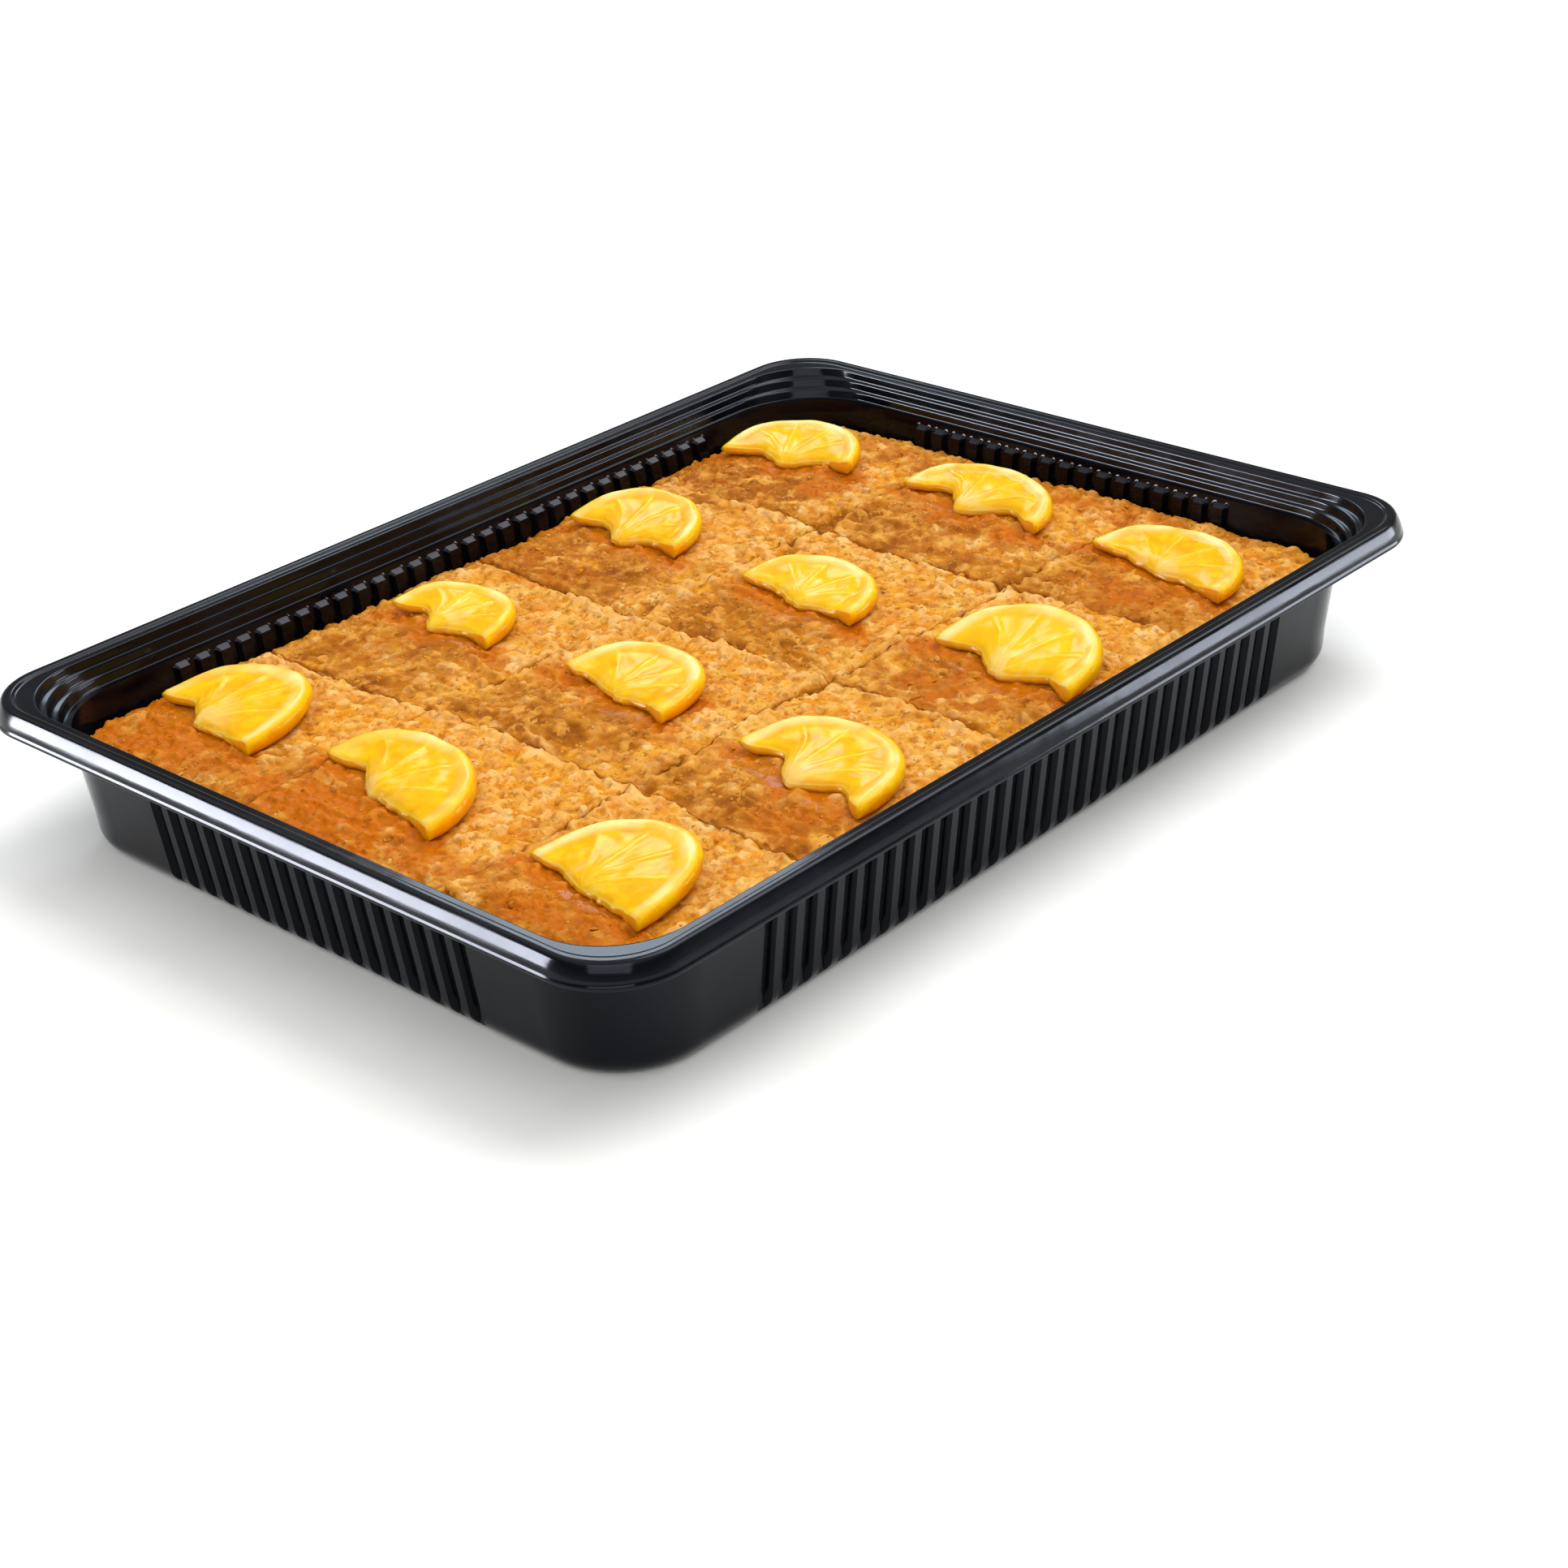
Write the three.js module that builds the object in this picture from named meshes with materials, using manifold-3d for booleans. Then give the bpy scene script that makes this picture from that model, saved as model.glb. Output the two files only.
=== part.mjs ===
/**
 * Traybake in a black fluted plastic tray: twelve cut squares of orange cake, each with a
 * candied half slice of orange lying on it.
 *
 * Millimetres, +Z up. The origin is the middle of the tray's underside, on the table.
 * +X runs along the tray's long side and +Y along its short side.
 */
import * as THREE from 'three';
import Module from 'manifold-3d';

const wasm = await Module();
wasm.setup();
const { Manifold } = wasm;

// Tray, overall
const LENGTH = 325;
const WIDTH = 239;
const HEIGHT = 43;
const SHEET = 1;
const RIM_RADIUS = 21.2;
const CORNER_STEPS = 6;

// Rim: a rounded outer bead, a lower inner flange and a flared skirt with a small lip
const SKIRT = 6.1;
const LIP = 1;
const SKIRT_INSET = 2.1;
const BEAD_WIDTH = 4.4;
const FLANGE_DROP = 0.7;
const FLANGE_WIDTH = 7.2;
const FLANGE_RADIUS = 23;

// Plain upper wall, with two small steps that show most in the corners
const STEP_HEIGHT = 0.4;
const STEP_WIDTH = 0.5;
const STEP_RADIUS_GAIN = 2.6;
const LEDGE_Z = 34.3;
const LEDGE_INSET = 9.5;

// Fluted lower wall and base
const WALL_INSET = 15.3;
const WALL_DRAFT = 0.14;
const WALL_RADIUS = 24.2;
const BASE_FILLET = 6.5;

// Flutes: pressed inwards, they run out over the rounded base edge
const PITCH = 7.02;
const LONG_FLUTES = 30;
const SHORT_FLUTES = 17;
const FLUTE_DEPTH = 1.8;
const FLUTE_MOUTH = 4.6;
const FLUTE_FLOOR = 2.8;
const FLUTE_LOW_Z = 1.4;
const FLUTE_TOP_Z = 32.7;
const BUMP_START = 0.6;
const BUMP_LOW_Z = 4.5;
const BUMP_SLOPE = 1.16;

// Cake
const COLUMNS = 4;
const ROWS = 3;
const CLEARANCE = 0.5;
const CAKE_TOP = 28.3;
const EDGE_DROOP = 2.3;
const CUT_GAP = 0.7;
const CUT_DROOP = 0.9;
const GRID = [0, 0.036, 0.2, 0.4, 0.6, 0.8, 0.964, 1];

// Candied half slices
const ARC_STEPS = 10;
const SLICE_REST = 0.45;
const THIN_EDGE = 2.3;
const EDGE_REACH = 4.2;
const FAR_TAPER = 0.5;
const NEAR_TAPER = 0.15;

/**
 * The half slices: column and row of the square, x and y of the middle of the cut edge, length of
 * the cut edge, reach to the arc, turn of the arc from +X in degrees, thickness, lift of the arc,
 * lifts of the far and near tip, and how deep the cut edge is eaten in: far, middle (outwards), near.
 */
const SLICES = [
  {
    at: [1, 1], x: -121, y: -67, chord: 47, depth: 30, turn: -12, thick: 5.4,
    raise: 2.8, tips: [0.5, 0], bites: [1.5, 0.5, 0.5],
  },
  {
    at: [2, 1], x: -50, y: -70, chord: 52, depth: 27, turn: -13, thick: 5.6,
    raise: 0.8, tips: [1, 0.4], bites: [4.5, 3.5, 5],
  },
  {
    at: [3, 1], x: 29, y: -71, chord: 53, depth: 27, turn: -9, thick: 6,
    raise: 3.4, tips: [0.5, 0.6], bites: [4, 2, 4],
  },
  {
    at: [4, 1], x: 105, y: -66, chord: 54, depth: 22, turn: -12, thick: 5.4,
    raise: 1.1, tips: [1, 0.3], bites: [1, 1, 1],
  },
  {
    at: [1, 2], x: -118, y: 9, chord: 58, depth: 24, turn: -15, thick: 6.2,
    raise: 1, tips: [0.7, 0], bites: [4, 1.5, 1],
  },
  {
    at: [2, 2], x: -42, y: 2, chord: 46, depth: 25, turn: -11, thick: 5.4,
    raise: 0.9, tips: [1.5, 0], bites: [1, 0.5, 2],
  },
  {
    at: [3, 2], x: 30, y: 2, chord: 46, depth: 22.5, turn: -6, thick: 5.6,
    raise: 0.9, tips: [1.3, 0.4], bites: [2, 1.5, 1.5],
  },
  {
    at: [4, 2], x: 111, y: 6, chord: 56, depth: 20.5, turn: -6, thick: 5.4,
    raise: 1.4, tips: [0.8, 0.3], bites: [5, 4, 5],
  },
  {
    at: [1, 3], x: -119, y: 76, chord: 46, depth: 30, turn: -9, thick: 6,
    raise: 1.6, tips: [1.6, 0], bites: [3.5, 2, 0.5],
  },
  {
    at: [2, 3], x: -41, y: 71, chord: 42, depth: 21.5, turn: -3, thick: 5.6,
    raise: 0.5, tips: [2.3, 0], bites: [4, 3, 1.5],
  },
  {
    at: [3, 3], x: 35, y: 75, chord: 45, depth: 24.5, turn: -1, thick: 5.6,
    raise: 1.6, tips: [2, 0], bites: [3.5, 3, 2.5],
  },
  {
    at: [4, 3], x: 109, y: 77, chord: 46, depth: 23.5, turn: 14, thick: 5.4,
    raise: 1, tips: [1.2, 0.6], bites: [3, 2.5, 2.5],
  },
];

const PLASTIC = finish('black_plastic', 0x101113, 0.25);
const CRUMB = finish('cake_crumb', 0xc98238, 0.7);
const CANDIED = finish('candied_citrus', 0xf5b42a, 0.3);

/** A plain non-metal material. */
function finish(name, color, roughness) {
  return new THREE.MeshStandardMaterial({ name, color, roughness, metalness: 0 });
}

/** Points of a rounded rectangle, set in from the rim's outline, counter-clockwise from above. */
function ringPoints(inset, z, radius) {
  const halfX = LENGTH / 2 - inset - radius;
  const halfY = WIDTH / 2 - inset - radius;
  const points = [];
  for (let corner = 0; corner < 4; corner += 1) {
    const signX = corner === 0 || corner === 3 ? 1 : -1;
    const signY = corner < 2 ? 1 : -1;
    for (let step = 0; step <= CORNER_STEPS; step += 1) {
      const angle = (corner + step / CORNER_STEPS) * Math.PI / 2;
      const x = signX * halfX + radius * Math.cos(angle);
      const y = signY * halfY + radius * Math.sin(angle);
      points.push([x, y, z]);
    }
  }
  return points;
}

/** A closed solid through a run of rings, with a flat cap on the first and the last ring. */
function loft(rings) {
  const count = rings[0].length;
  const points = rings.flat();
  const triangles = [];
  for (let ring = 0; ring + 1 < rings.length; ring += 1) {
    for (let i = 0; i < count; i += 1) {
      const next = (i + 1) % count;
      const a = ring * count + i;
      const b = ring * count + next;
      triangles.push([a, b, b + count], [a, b + count, a + count]);
    }
  }
  const last = (rings.length - 1) * count;
  for (let i = 1; i + 1 < count; i += 1) {
    triangles.push([0, i + 1, i], [last, last + i, last + i + 1]);
  }
  return solidFrom(points, triangles);
}

/** A manifold solid from a list of points and a list of index triples. */
function solidFrom(points, triangles) {
  const mesh = new wasm.Mesh({
    numProp: 3,
    vertProperties: new Float32Array(points.flat()),
    triVerts: new Uint32Array(triangles.flat()),
  });
  mesh.merge();
  return new Manifold(mesh);
}

/** The named mesh of a manifold solid. */
function meshOf(solid, name, material) {
  const data = solid.getMesh();
  const geometry = new THREE.BufferGeometry();
  geometry.setAttribute('position', new THREE.BufferAttribute(new Float32Array(data.vertProperties), 3));
  geometry.setIndex(new THREE.BufferAttribute(new Uint32Array(data.triVerts), 1));
  const mesh = new THREE.Mesh(geometry, material);
  mesh.name = name;
  return mesh;
}

/** How far the fluted wall's outer face stands in from the rim's outline at a height. */
function wallInset(z) {
  return WALL_INSET - WALL_DRAFT * z;
}

/** Rings of the rounded base edge, from the wall down to the flat base. */
function filletRings(offset) {
  const radius = BASE_FILLET - offset;
  const wall = wallInset(BASE_FILLET) + offset;
  return [0, 30, 60, 90].map((degrees) => {
    const angle = degrees * Math.PI / 180;
    const reach = radius * (1 - Math.cos(angle));
    return ringPoints(wall + reach, BASE_FILLET - radius * Math.sin(angle), WALL_RADIUS - offset - reach);
  });
}

/** The stepped upper wall from the flange down to the ledge, as inset, height and plan radius. */
function upperWall() {
  const top = HEIGHT - FLANGE_DROP;
  const rise = (top - LEDGE_Z - 2 * STEP_HEIGHT) / 3;
  const run = (LEDGE_INSET - FLANGE_WIDTH - 2 * STEP_WIDTH) / 3;
  const line = [[FLANGE_WIDTH, top, FLANGE_RADIUS]];
  for (let step = 0; step < 3; step += 1) {
    const [inset, z, radius] = line[line.length - 1];
    line.push([inset + run, z - rise, radius + run]);
    if (step < 2) {
      line.push([inset + run + STEP_WIDTH, z - rise - STEP_HEIGHT, radius + run + STEP_RADIUS_GAIN]);
    }
  }
  return line;
}

/** The plain tray, without its flutes. */
function plainTray() {
  const inner = upperWall();
  const outer = inner.map(([inset, z, radius]) => [inset - SHEET, z - SHEET, radius + SHEET]).reverse();
  const underLedge = LEDGE_Z - SHEET;
  const lipTop = HEIGHT - SKIRT + LIP;
  const skirtIn = SKIRT_INSET + SHEET;
  const bead = HEIGHT - SHEET;
  const rim = [
    [BEAD_WIDTH + 0.2, HEIGHT - FLANGE_DROP - SHEET, RIM_RADIUS - 3.6],
    [BEAD_WIDTH - 0.4, bead, RIM_RADIUS - 3.6],
    [skirtIn + 0.3, bead, RIM_RADIUS - skirtIn - 0.3],
    [skirtIn, bead - 0.4, RIM_RADIUS - skirtIn],
    [SHEET + 0.4, lipTop, RIM_RADIUS - SHEET - 0.4],
    [SHEET, lipTop - 0.4, RIM_RADIUS - SHEET],
    [SHEET, HEIGHT - SKIRT, RIM_RADIUS - SHEET],
    [0, HEIGHT - SKIRT, RIM_RADIUS],
    [0, lipTop - 0.1, RIM_RADIUS],
    [0.3, lipTop + 0.3, RIM_RADIUS - 0.3],
    [SKIRT_INSET - 0.3, HEIGHT - 0.9, RIM_RADIUS - SKIRT_INSET + 0.3],
    [SKIRT_INSET + 0.2, HEIGHT - 0.25, RIM_RADIUS - SKIRT_INSET - 0.2],
    [SKIRT_INSET + 0.9, HEIGHT, RIM_RADIUS - SKIRT_INSET - 0.9],
    [BEAD_WIDTH, HEIGHT, RIM_RADIUS - 3.6],
    [BEAD_WIDTH + 0.6, HEIGHT - FLANGE_DROP, RIM_RADIUS - 3.6],
  ];
  const line = [
    [wallInset(underLedge), underLedge, WALL_RADIUS + WALL_DRAFT * underLedge],
    ...outer,
    ...rim,
    ...inner,
    [wallInset(LEDGE_Z) + SHEET, LEDGE_Z, WALL_RADIUS + WALL_DRAFT * LEDGE_Z - SHEET],
  ];
  return loft([
    ...filletRings(0).reverse(),
    ...line.map(([inset, z, radius]) => ringPoints(inset, z, radius)),
    ...filletRings(SHEET),
  ]);
}

/**
 * A tapered block across one side's wall.
 * side: outward direction 0 (+X), 1 (+Y), 2 (-X), 3 (-Y); along: place on that side;
 * near and far: depth under the wall's outer face, half width and low and high end at each.
 */
function wallBlock(side, along, near, far) {
  const turn = side * Math.PI / 2;
  const reach = (side % 2 === 0 ? LENGTH : WIDTH) / 2;
  const points = [];
  for (const face of [near, far]) {
    for (const [sign, z] of [[-1, face.low], [1, face.low], [1, face.high], [-1, face.high]]) {
      const out = reach - wallInset(z) - face.depth;
      const across = along + sign * face.half;
      const x = out * Math.cos(turn) - across * Math.sin(turn);
      const y = out * Math.sin(turn) + across * Math.cos(turn);
      points.push([x, y, z]);
    }
  }
  const triangles = [[0, 1, 2], [0, 2, 3], [4, 6, 5], [4, 7, 6]];
  for (let i = 0; i < 4; i += 1) {
    const next = (i + 1) % 4;
    triangles.push([i, i + 4, next + 4], [i, next + 4, next]);
  }
  return solidFrom(points, triangles);
}

/** The places of the flutes on all four sides, as side and distance along it. */
function flutePlaces() {
  const places = [];
  for (let side = 0; side < 4; side += 1) {
    const count = side % 2 === 0 ? SHORT_FLUTES : LONG_FLUTES;
    for (let i = 0; i < count; i += 1) {
      places.push([side, (i - (count - 1) / 2) * PITCH]);
    }
  }
  return places;
}

/** The whole tray: flutes are pressed in from outside and stand proud on the inside. */
function fluted() {
  const places = flutePlaces();
  const taper = (FLUTE_MOUTH - FLUTE_FLOOR) / 2 / FLUTE_DEPTH;
  const grooveAt = (depth) => ({
    depth,
    half: FLUTE_MOUTH / 2 - taper * depth,
    low: FLUTE_LOW_Z,
    high: FLUTE_TOP_Z - 0.6 * depth,
  });
  const bumpAt = (depth) => ({
    depth,
    half: FLUTE_MOUTH / 2 + 0.55 - taper * (depth - SHEET),
    low: BUMP_LOW_Z - BUMP_SLOPE * (depth - BUMP_START),
    high: FLUTE_TOP_Z - 0.6 * (depth - SHEET) + 0.4,
  });
  let tray = plainTray();
  for (const [side, along] of places) {
    tray = tray.add(wallBlock(side, along, bumpAt(BUMP_START), bumpAt(FLUTE_DEPTH + SHEET)));
  }
  for (const [side, along] of places) {
    tray = tray.subtract(wallBlock(side, along, grooveAt(-0.6), grooveAt(FLUTE_DEPTH)));
  }
  return tray;
}

/** Half the cake's size along X or Y at a height, inside the flutes. */
function cakeHalf(size, z) {
  return size / 2 - wallInset(z) - SHEET - FLUTE_DEPTH - CLEARANCE;
}

/** X of the cut between two columns, at a place along Y. Cuts 0 and COLUMNS are the walls. */
function cutX(index, y, z) {
  const half = cakeHalf(LENGTH, z);
  if (index === 0 || index === COLUMNS) {
    return index === 0 ? -half : half;
  }
  const sway = 1.5 * Math.sin(y / 24 + index * 1.9) + 0.6 * Math.sin(y / 9 + index);
  return (index - COLUMNS / 2) * 75.6 + sway;
}

/** Y of the cut between two rows, at a place along X. Cuts 0 and ROWS are the walls. */
function cutY(index, x, z) {
  const half = cakeHalf(WIDTH, z);
  if (index === 0 || index === ROWS) {
    return index === 0 ? -half : half;
  }
  const sway = 1.4 * Math.sin(x / 27 + index * 2.3) + 0.6 * Math.sin(x / 10 + index * 4);
  return (index - ROWS / 2) * 71.6 - 0.8 + sway;
}

/** The cake's top without the dips at walls and cuts: a gently uneven baked surface. */
function bakedTop(x, y) {
  const broad = 0.5 * Math.sin(x / 17 + 0.6) * Math.cos(y / 21 - 0.4);
  const close = 0.35 * Math.sin(x / 9.5 + y / 13 + 1);
  return CAKE_TOP + broad + close;
}

/** Pulls a point into the rounded corner of the tray at a height. */
function intoCorner(x, y, z) {
  const radius = WALL_RADIUS + WALL_DRAFT * z - SHEET - CLEARANCE - 0.6;
  const centreX = cakeHalf(LENGTH, z) - radius;
  const centreY = cakeHalf(WIDTH, z) - radius;
  const overX = Math.abs(x) - centreX;
  const overY = Math.abs(y) - centreY;
  if (overX <= 0 || overY <= 0) {
    return [x, y];
  }
  const square = Math.max(overX, overY);
  const scale = square / Math.hypot(overX, overY);
  return [Math.sign(x) * (centreX + overX * scale), Math.sign(y) * (centreY + overY * scale)];
}

/** Where a square's grid place u, v (0 to 1) lies at a height, half a cut inside its neighbours. */
function squarePoint(column, row, u, v, z) {
  const gapLeft = column === 0 ? 0 : CUT_GAP / 2;
  const gapRight = column === COLUMNS - 1 ? 0 : CUT_GAP / 2;
  const gapNear = row === 0 ? 0 : CUT_GAP / 2;
  const gapFar = row === ROWS - 1 ? 0 : CUT_GAP / 2;
  let x = (column + u - COLUMNS / 2) * 75;
  let y = (row + v - ROWS / 2) * 71;
  for (let pass = 0; pass < 4; pass += 1) {
    const left = cutX(column, y, z) + gapLeft;
    const right = cutX(column + 1, y, z) - gapRight;
    x = left + (right - left) * u;
    const near = cutY(row, x, z) + gapNear;
    const far = cutY(row + 1, x, z) - gapFar;
    y = near + (far - near) * v;
  }
  return intoCorner(x, y, z);
}

/** How far the top sinks at a grid place: at the wall by the droop, at a cut by a little. */
function topDip(column, row, u, v, x, y) {
  const atCut = (u === 0 && column > 0) || (u === 1 && column < COLUMNS - 1)
    || (v === 0 && row > 0) || (v === 1 && row < ROWS - 1);
  const toEnd = cakeHalf(LENGTH, CAKE_TOP) - Math.abs(x);
  const toSide = cakeHalf(WIDTH, CAKE_TOP) - Math.abs(y);
  const toWall = Math.min(toEnd, toSide);
  return EDGE_DROOP * Math.exp(-Math.max(toWall, 0) / 5) + (atCut ? CUT_DROOP : 0);
}

/** The grid of top points of one square. */
function squareTop(column, row) {
  return GRID.map((v) => GRID.map((u) => {
    const [x, y] = squarePoint(column, row, u, v, CAKE_TOP - EDGE_DROOP);
    return [x, y, bakedTop(x, y) - topDip(column, row, u, v, x, y)];
  }));
}

/** Grid places around a square's border, counter-clockwise from above. */
function borderPlaces() {
  const last = GRID.length - 1;
  const places = [];
  for (let i = 0; i < last; i += 1) {
    places.push([i, 0]);
  }
  for (let i = 0; i < last; i += 1) {
    places.push([last, i]);
  }
  for (let i = last; i > 0; i -= 1) {
    places.push([i, last]);
  }
  for (let i = last; i > 0; i -= 1) {
    places.push([0, i]);
  }
  return places;
}

/** The ring of a square's side wall at a height, drawn in by the base edge's rounding. */
function sideRing(column, row, z, rounding) {
  const shrinkX = (cakeHalf(LENGTH, z) - rounding) / cakeHalf(LENGTH, z);
  const shrinkY = (cakeHalf(WIDTH, z) - rounding) / cakeHalf(WIDTH, z);
  return borderPlaces().map(([i, j]) => {
    const [x, y] = squarePoint(column, row, GRID[i], GRID[j], z);
    return [x * shrinkX, y * shrinkY, z];
  });
}

/** One square of cake as a closed solid. */
function cakeSquare(column, row) {
  const size = GRID.length;
  const top = squareTop(column, row).flat();
  const places = borderPlaces();
  const count = places.length;
  const middle = sideRing(column, row, BASE_FILLET, 0);
  const bottom = sideRing(column, row, SHEET + CLEARANCE, BASE_FILLET - SHEET);
  const points = [...top, ...middle, ...bottom];
  const triangles = [];
  for (let j = 0; j + 1 < size; j += 1) {
    for (let i = 0; i + 1 < size; i += 1) {
      const a = j * size + i;
      triangles.push([a, a + 1, a + size + 1], [a, a + size + 1, a + size]);
    }
  }
  const border = places.map(([i, j]) => j * size + i);
  for (let k = 0; k < count; k += 1) {
    const next = (k + 1) % count;
    const high = size * size + k;
    const highNext = size * size + next;
    triangles.push([border[next], border[k], high], [border[next], high, highNext]);
    triangles.push([highNext, high, high + count], [highNext, high + count, highNext + count]);
  }
  const base = size * size + count;
  const hub = points.length;
  const [hubX, hubY] = squarePoint(column, row, 0.5, 0.5, SHEET);
  points.push([hubX, hubY, SHEET + CLEARANCE]);
  for (let k = 0; k < count; k += 1) {
    triangles.push([hub, base + (k + 1) % count, base + k]);
  }
  return solidFrom(points, triangles);
}

/** Height of a square's faceted top under a point. */
function heightOn(top, x, y) {
  for (let j = 0; j + 1 < top.length; j += 1) {
    for (let i = 0; i + 1 < top.length; i += 1) {
      const corners = [top[j][i], top[j][i + 1], top[j + 1][i + 1], top[j + 1][i]];
      const halves = [[corners[0], corners[1], corners[2]], [corners[0], corners[2], corners[3]]];
      for (const [a, b, c] of halves) {
        const area = (b[0] - a[0]) * (c[1] - a[1]) - (c[0] - a[0]) * (b[1] - a[1]);
        const s = ((x - a[0]) * (c[1] - a[1]) - (c[0] - a[0]) * (y - a[1])) / area;
        const t = ((b[0] - a[0]) * (y - a[1]) - (x - a[0]) * (b[1] - a[1])) / area;
        if (s >= -1e-6 && t >= -1e-6 && s + t <= 1 + 1e-6) {
          return a[2] + s * (b[2] - a[2]) + t * (c[2] - a[2]);
        }
      }
    }
  }
  return CAKE_TOP;
}

/** How far the cut edge moves towards the arc at a place along it: bites in, middle out. */
function biteDepth(slice, along) {
  const half = slice.chord / 2;
  const bump = (centre, width) => Math.exp(-(((along / half - centre) / width) ** 2));
  const [left, middle, right] = slice.bites;
  return left * bump(0.5, 0.24) + right * bump(-0.5, 0.24) - middle * bump(0, 0.2);
}

/** One point of a half slice: angle along the arc, share of the radius and height above the rest. */
function slicePoint(slice, top, angle, share, height) {
  const along = slice.chord / 2 * Math.cos(angle) * share;
  const out = slice.depth * Math.sin(angle) * share;
  const pull = Math.max(0, 1 - out / (0.65 * slice.depth));
  const deep = out + biteDepth(slice, along) * pull;
  const turn = slice.turn * Math.PI / 180;
  const x = slice.x + deep * Math.cos(turn) - along * Math.sin(turn);
  const y = slice.y + deep * Math.sin(turn) + along * Math.cos(turn);
  const end = along / (slice.chord / 2);
  const tip = end > 0 ? slice.tips[0] : slice.tips[1];
  const lift = slice.raise * Math.max(0, deep / slice.depth) + tip * end * end;
  return [x, y, heightOn(top, x, y) + SLICE_REST + lift + height];
}

/** A soft step from 0 at low to 1 at high. */
function softStep(value, low, high) {
  const share = Math.min(1, Math.max(0, (value - low) / (high - low)));
  return share * share * (3 - 2 * share);
}

/** Height of a half slice's upper side: thin along the cut edge, and thinner at the tips. */
function faceHeight(slice, angle, share, drop) {
  const farTip = FAR_TAPER * Math.exp(-((angle / 0.42) ** 2));
  const nearTip = NEAR_TAPER * Math.exp(-(((Math.PI - angle) / 0.3) ** 2));
  const full = (slice.thick - drop) * (1 - (farTip + nearTip) * softStep(share, 0.3, 0.95));
  const out = slice.depth * Math.sin(angle) * share;
  const kept = 0.8 * softStep(-Math.cos(angle) * share, 0.5, 0.85);
  const worn = Math.exp(-out / EDGE_REACH) * (1 - kept);
  return full - Math.max(full - THIN_EDGE, 0) * worn;
}

/** One candied half slice: sunken flesh, a raised pith ring and the rind's rounded edge. */
function halfSlice(slice) {
  const top = squareTop(slice.at[0] - 1, slice.at[1] - 1);
  const face = [[0.26, 0.6], [0.5, 0.9], [0.78, 0.7], [0.92, 0.1], [1, 1.1]];
  const below = [[0.96, 0.9], [0.86, 0], [0.5, 0], [0.26, 0]];
  const rows = face.length + below.length;
  const points = [];
  for (let step = 0; step <= ARC_STEPS; step += 1) {
    const angle = Math.PI * step / ARC_STEPS;
    for (const [share, drop] of face) {
      points.push(slicePoint(slice, top, angle, share, faceHeight(slice, angle, share, drop)));
    }
    for (const [share, height] of below) {
      points.push(slicePoint(slice, top, angle, share, height));
    }
  }
  const crown = points.length;
  points.push(slicePoint(slice, top, Math.PI / 2, 0, THIN_EDGE));
  points.push(slicePoint(slice, top, Math.PI / 2, 0, 0));
  const triangles = [];
  for (let step = 0; step < ARC_STEPS; step += 1) {
    const a = step * rows;
    const b = a + rows;
    for (let k = 0; k + 1 < rows; k += 1) {
      triangles.push([a + k, b + k + 1, a + k + 1], [a + k, b + k, b + k + 1]);
    }
    triangles.push([crown, b, a], [crown + 1, a + rows - 1, b + rows - 1]);
  }
  const end = ARC_STEPS * rows;
  const cut = [[0, 1, 8], [1, 7, 8], [1, 2, 7], [2, 6, 7], [2, 3, 6], [3, 5, 6], [3, 4, 5]];
  for (const [a, b, c] of cut) {
    triangles.push([a, b, c], [end + a, end + c, end + b]);
  }
  triangles.push([crown, 0, rows - 1], [crown, rows - 1, crown + 1]);
  triangles.push([crown, end + rows - 1, end], [crown, crown + 1, end + rows - 1]);
  return solidFrom(points, triangles);
}

const cake = new THREE.Group();
cake.name = 'traybake';
cake.add(meshOf(fluted(), 'tray', PLASTIC));
for (let row = 0; row < ROWS; row += 1) {
  for (let column = 0; column < COLUMNS; column += 1) {
    cake.add(meshOf(cakeSquare(column, row), `square_${column + 1}_${row + 1}`, CRUMB));
  }
}
for (const slice of SLICES) {
  cake.add(meshOf(halfSlice(slice), `citrus_${slice.at[0]}_${slice.at[1]}`, CANDIED));
}

export default cake;
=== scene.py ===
"""Traybake in a black fluted tray, dressed for its studio picture.

Twelve squares of syrup-soaked cake, each with a candied citrus half slice, stand in a
thermoformed tray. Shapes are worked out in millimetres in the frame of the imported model, with
+Z up, and written to the meshes in metres.
"""
import itertools
import logging
import math
from dataclasses import dataclass, field
from enum import Enum

import bpy
import numpy as np
from mathutils import Matrix, Vector


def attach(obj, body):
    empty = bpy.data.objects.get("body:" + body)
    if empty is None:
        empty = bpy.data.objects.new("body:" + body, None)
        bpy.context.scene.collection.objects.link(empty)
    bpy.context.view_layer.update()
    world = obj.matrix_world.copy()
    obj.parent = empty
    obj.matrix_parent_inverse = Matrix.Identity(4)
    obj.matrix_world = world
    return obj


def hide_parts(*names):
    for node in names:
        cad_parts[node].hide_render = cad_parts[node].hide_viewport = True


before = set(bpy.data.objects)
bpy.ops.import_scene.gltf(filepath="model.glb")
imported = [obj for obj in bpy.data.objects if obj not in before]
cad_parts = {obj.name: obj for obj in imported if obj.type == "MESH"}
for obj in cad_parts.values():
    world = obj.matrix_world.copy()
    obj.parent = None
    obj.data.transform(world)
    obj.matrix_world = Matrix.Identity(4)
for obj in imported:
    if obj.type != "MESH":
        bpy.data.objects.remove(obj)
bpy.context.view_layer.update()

MM = 0.001
SEED = 20
LOG = logging.getLogger("traybake")


def linear(code: str) -> tuple[float, float, float, float]:
    """Turns an sRGB hex colour into linear light.

    Args:
        code: six hex digits, such as "e3a254".

    Returns:
        Red, green, blue and alpha.
    """
    parts = [int(code[at:at + 2], 16) / 255 for at in (0, 2, 4)]
    lit = [c / 12.92 if c <= 0.04045 else ((c + 0.055) / 1.055) ** 2.4 for c in parts]
    return (lit[0], lit[1], lit[2], 1.0)


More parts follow.
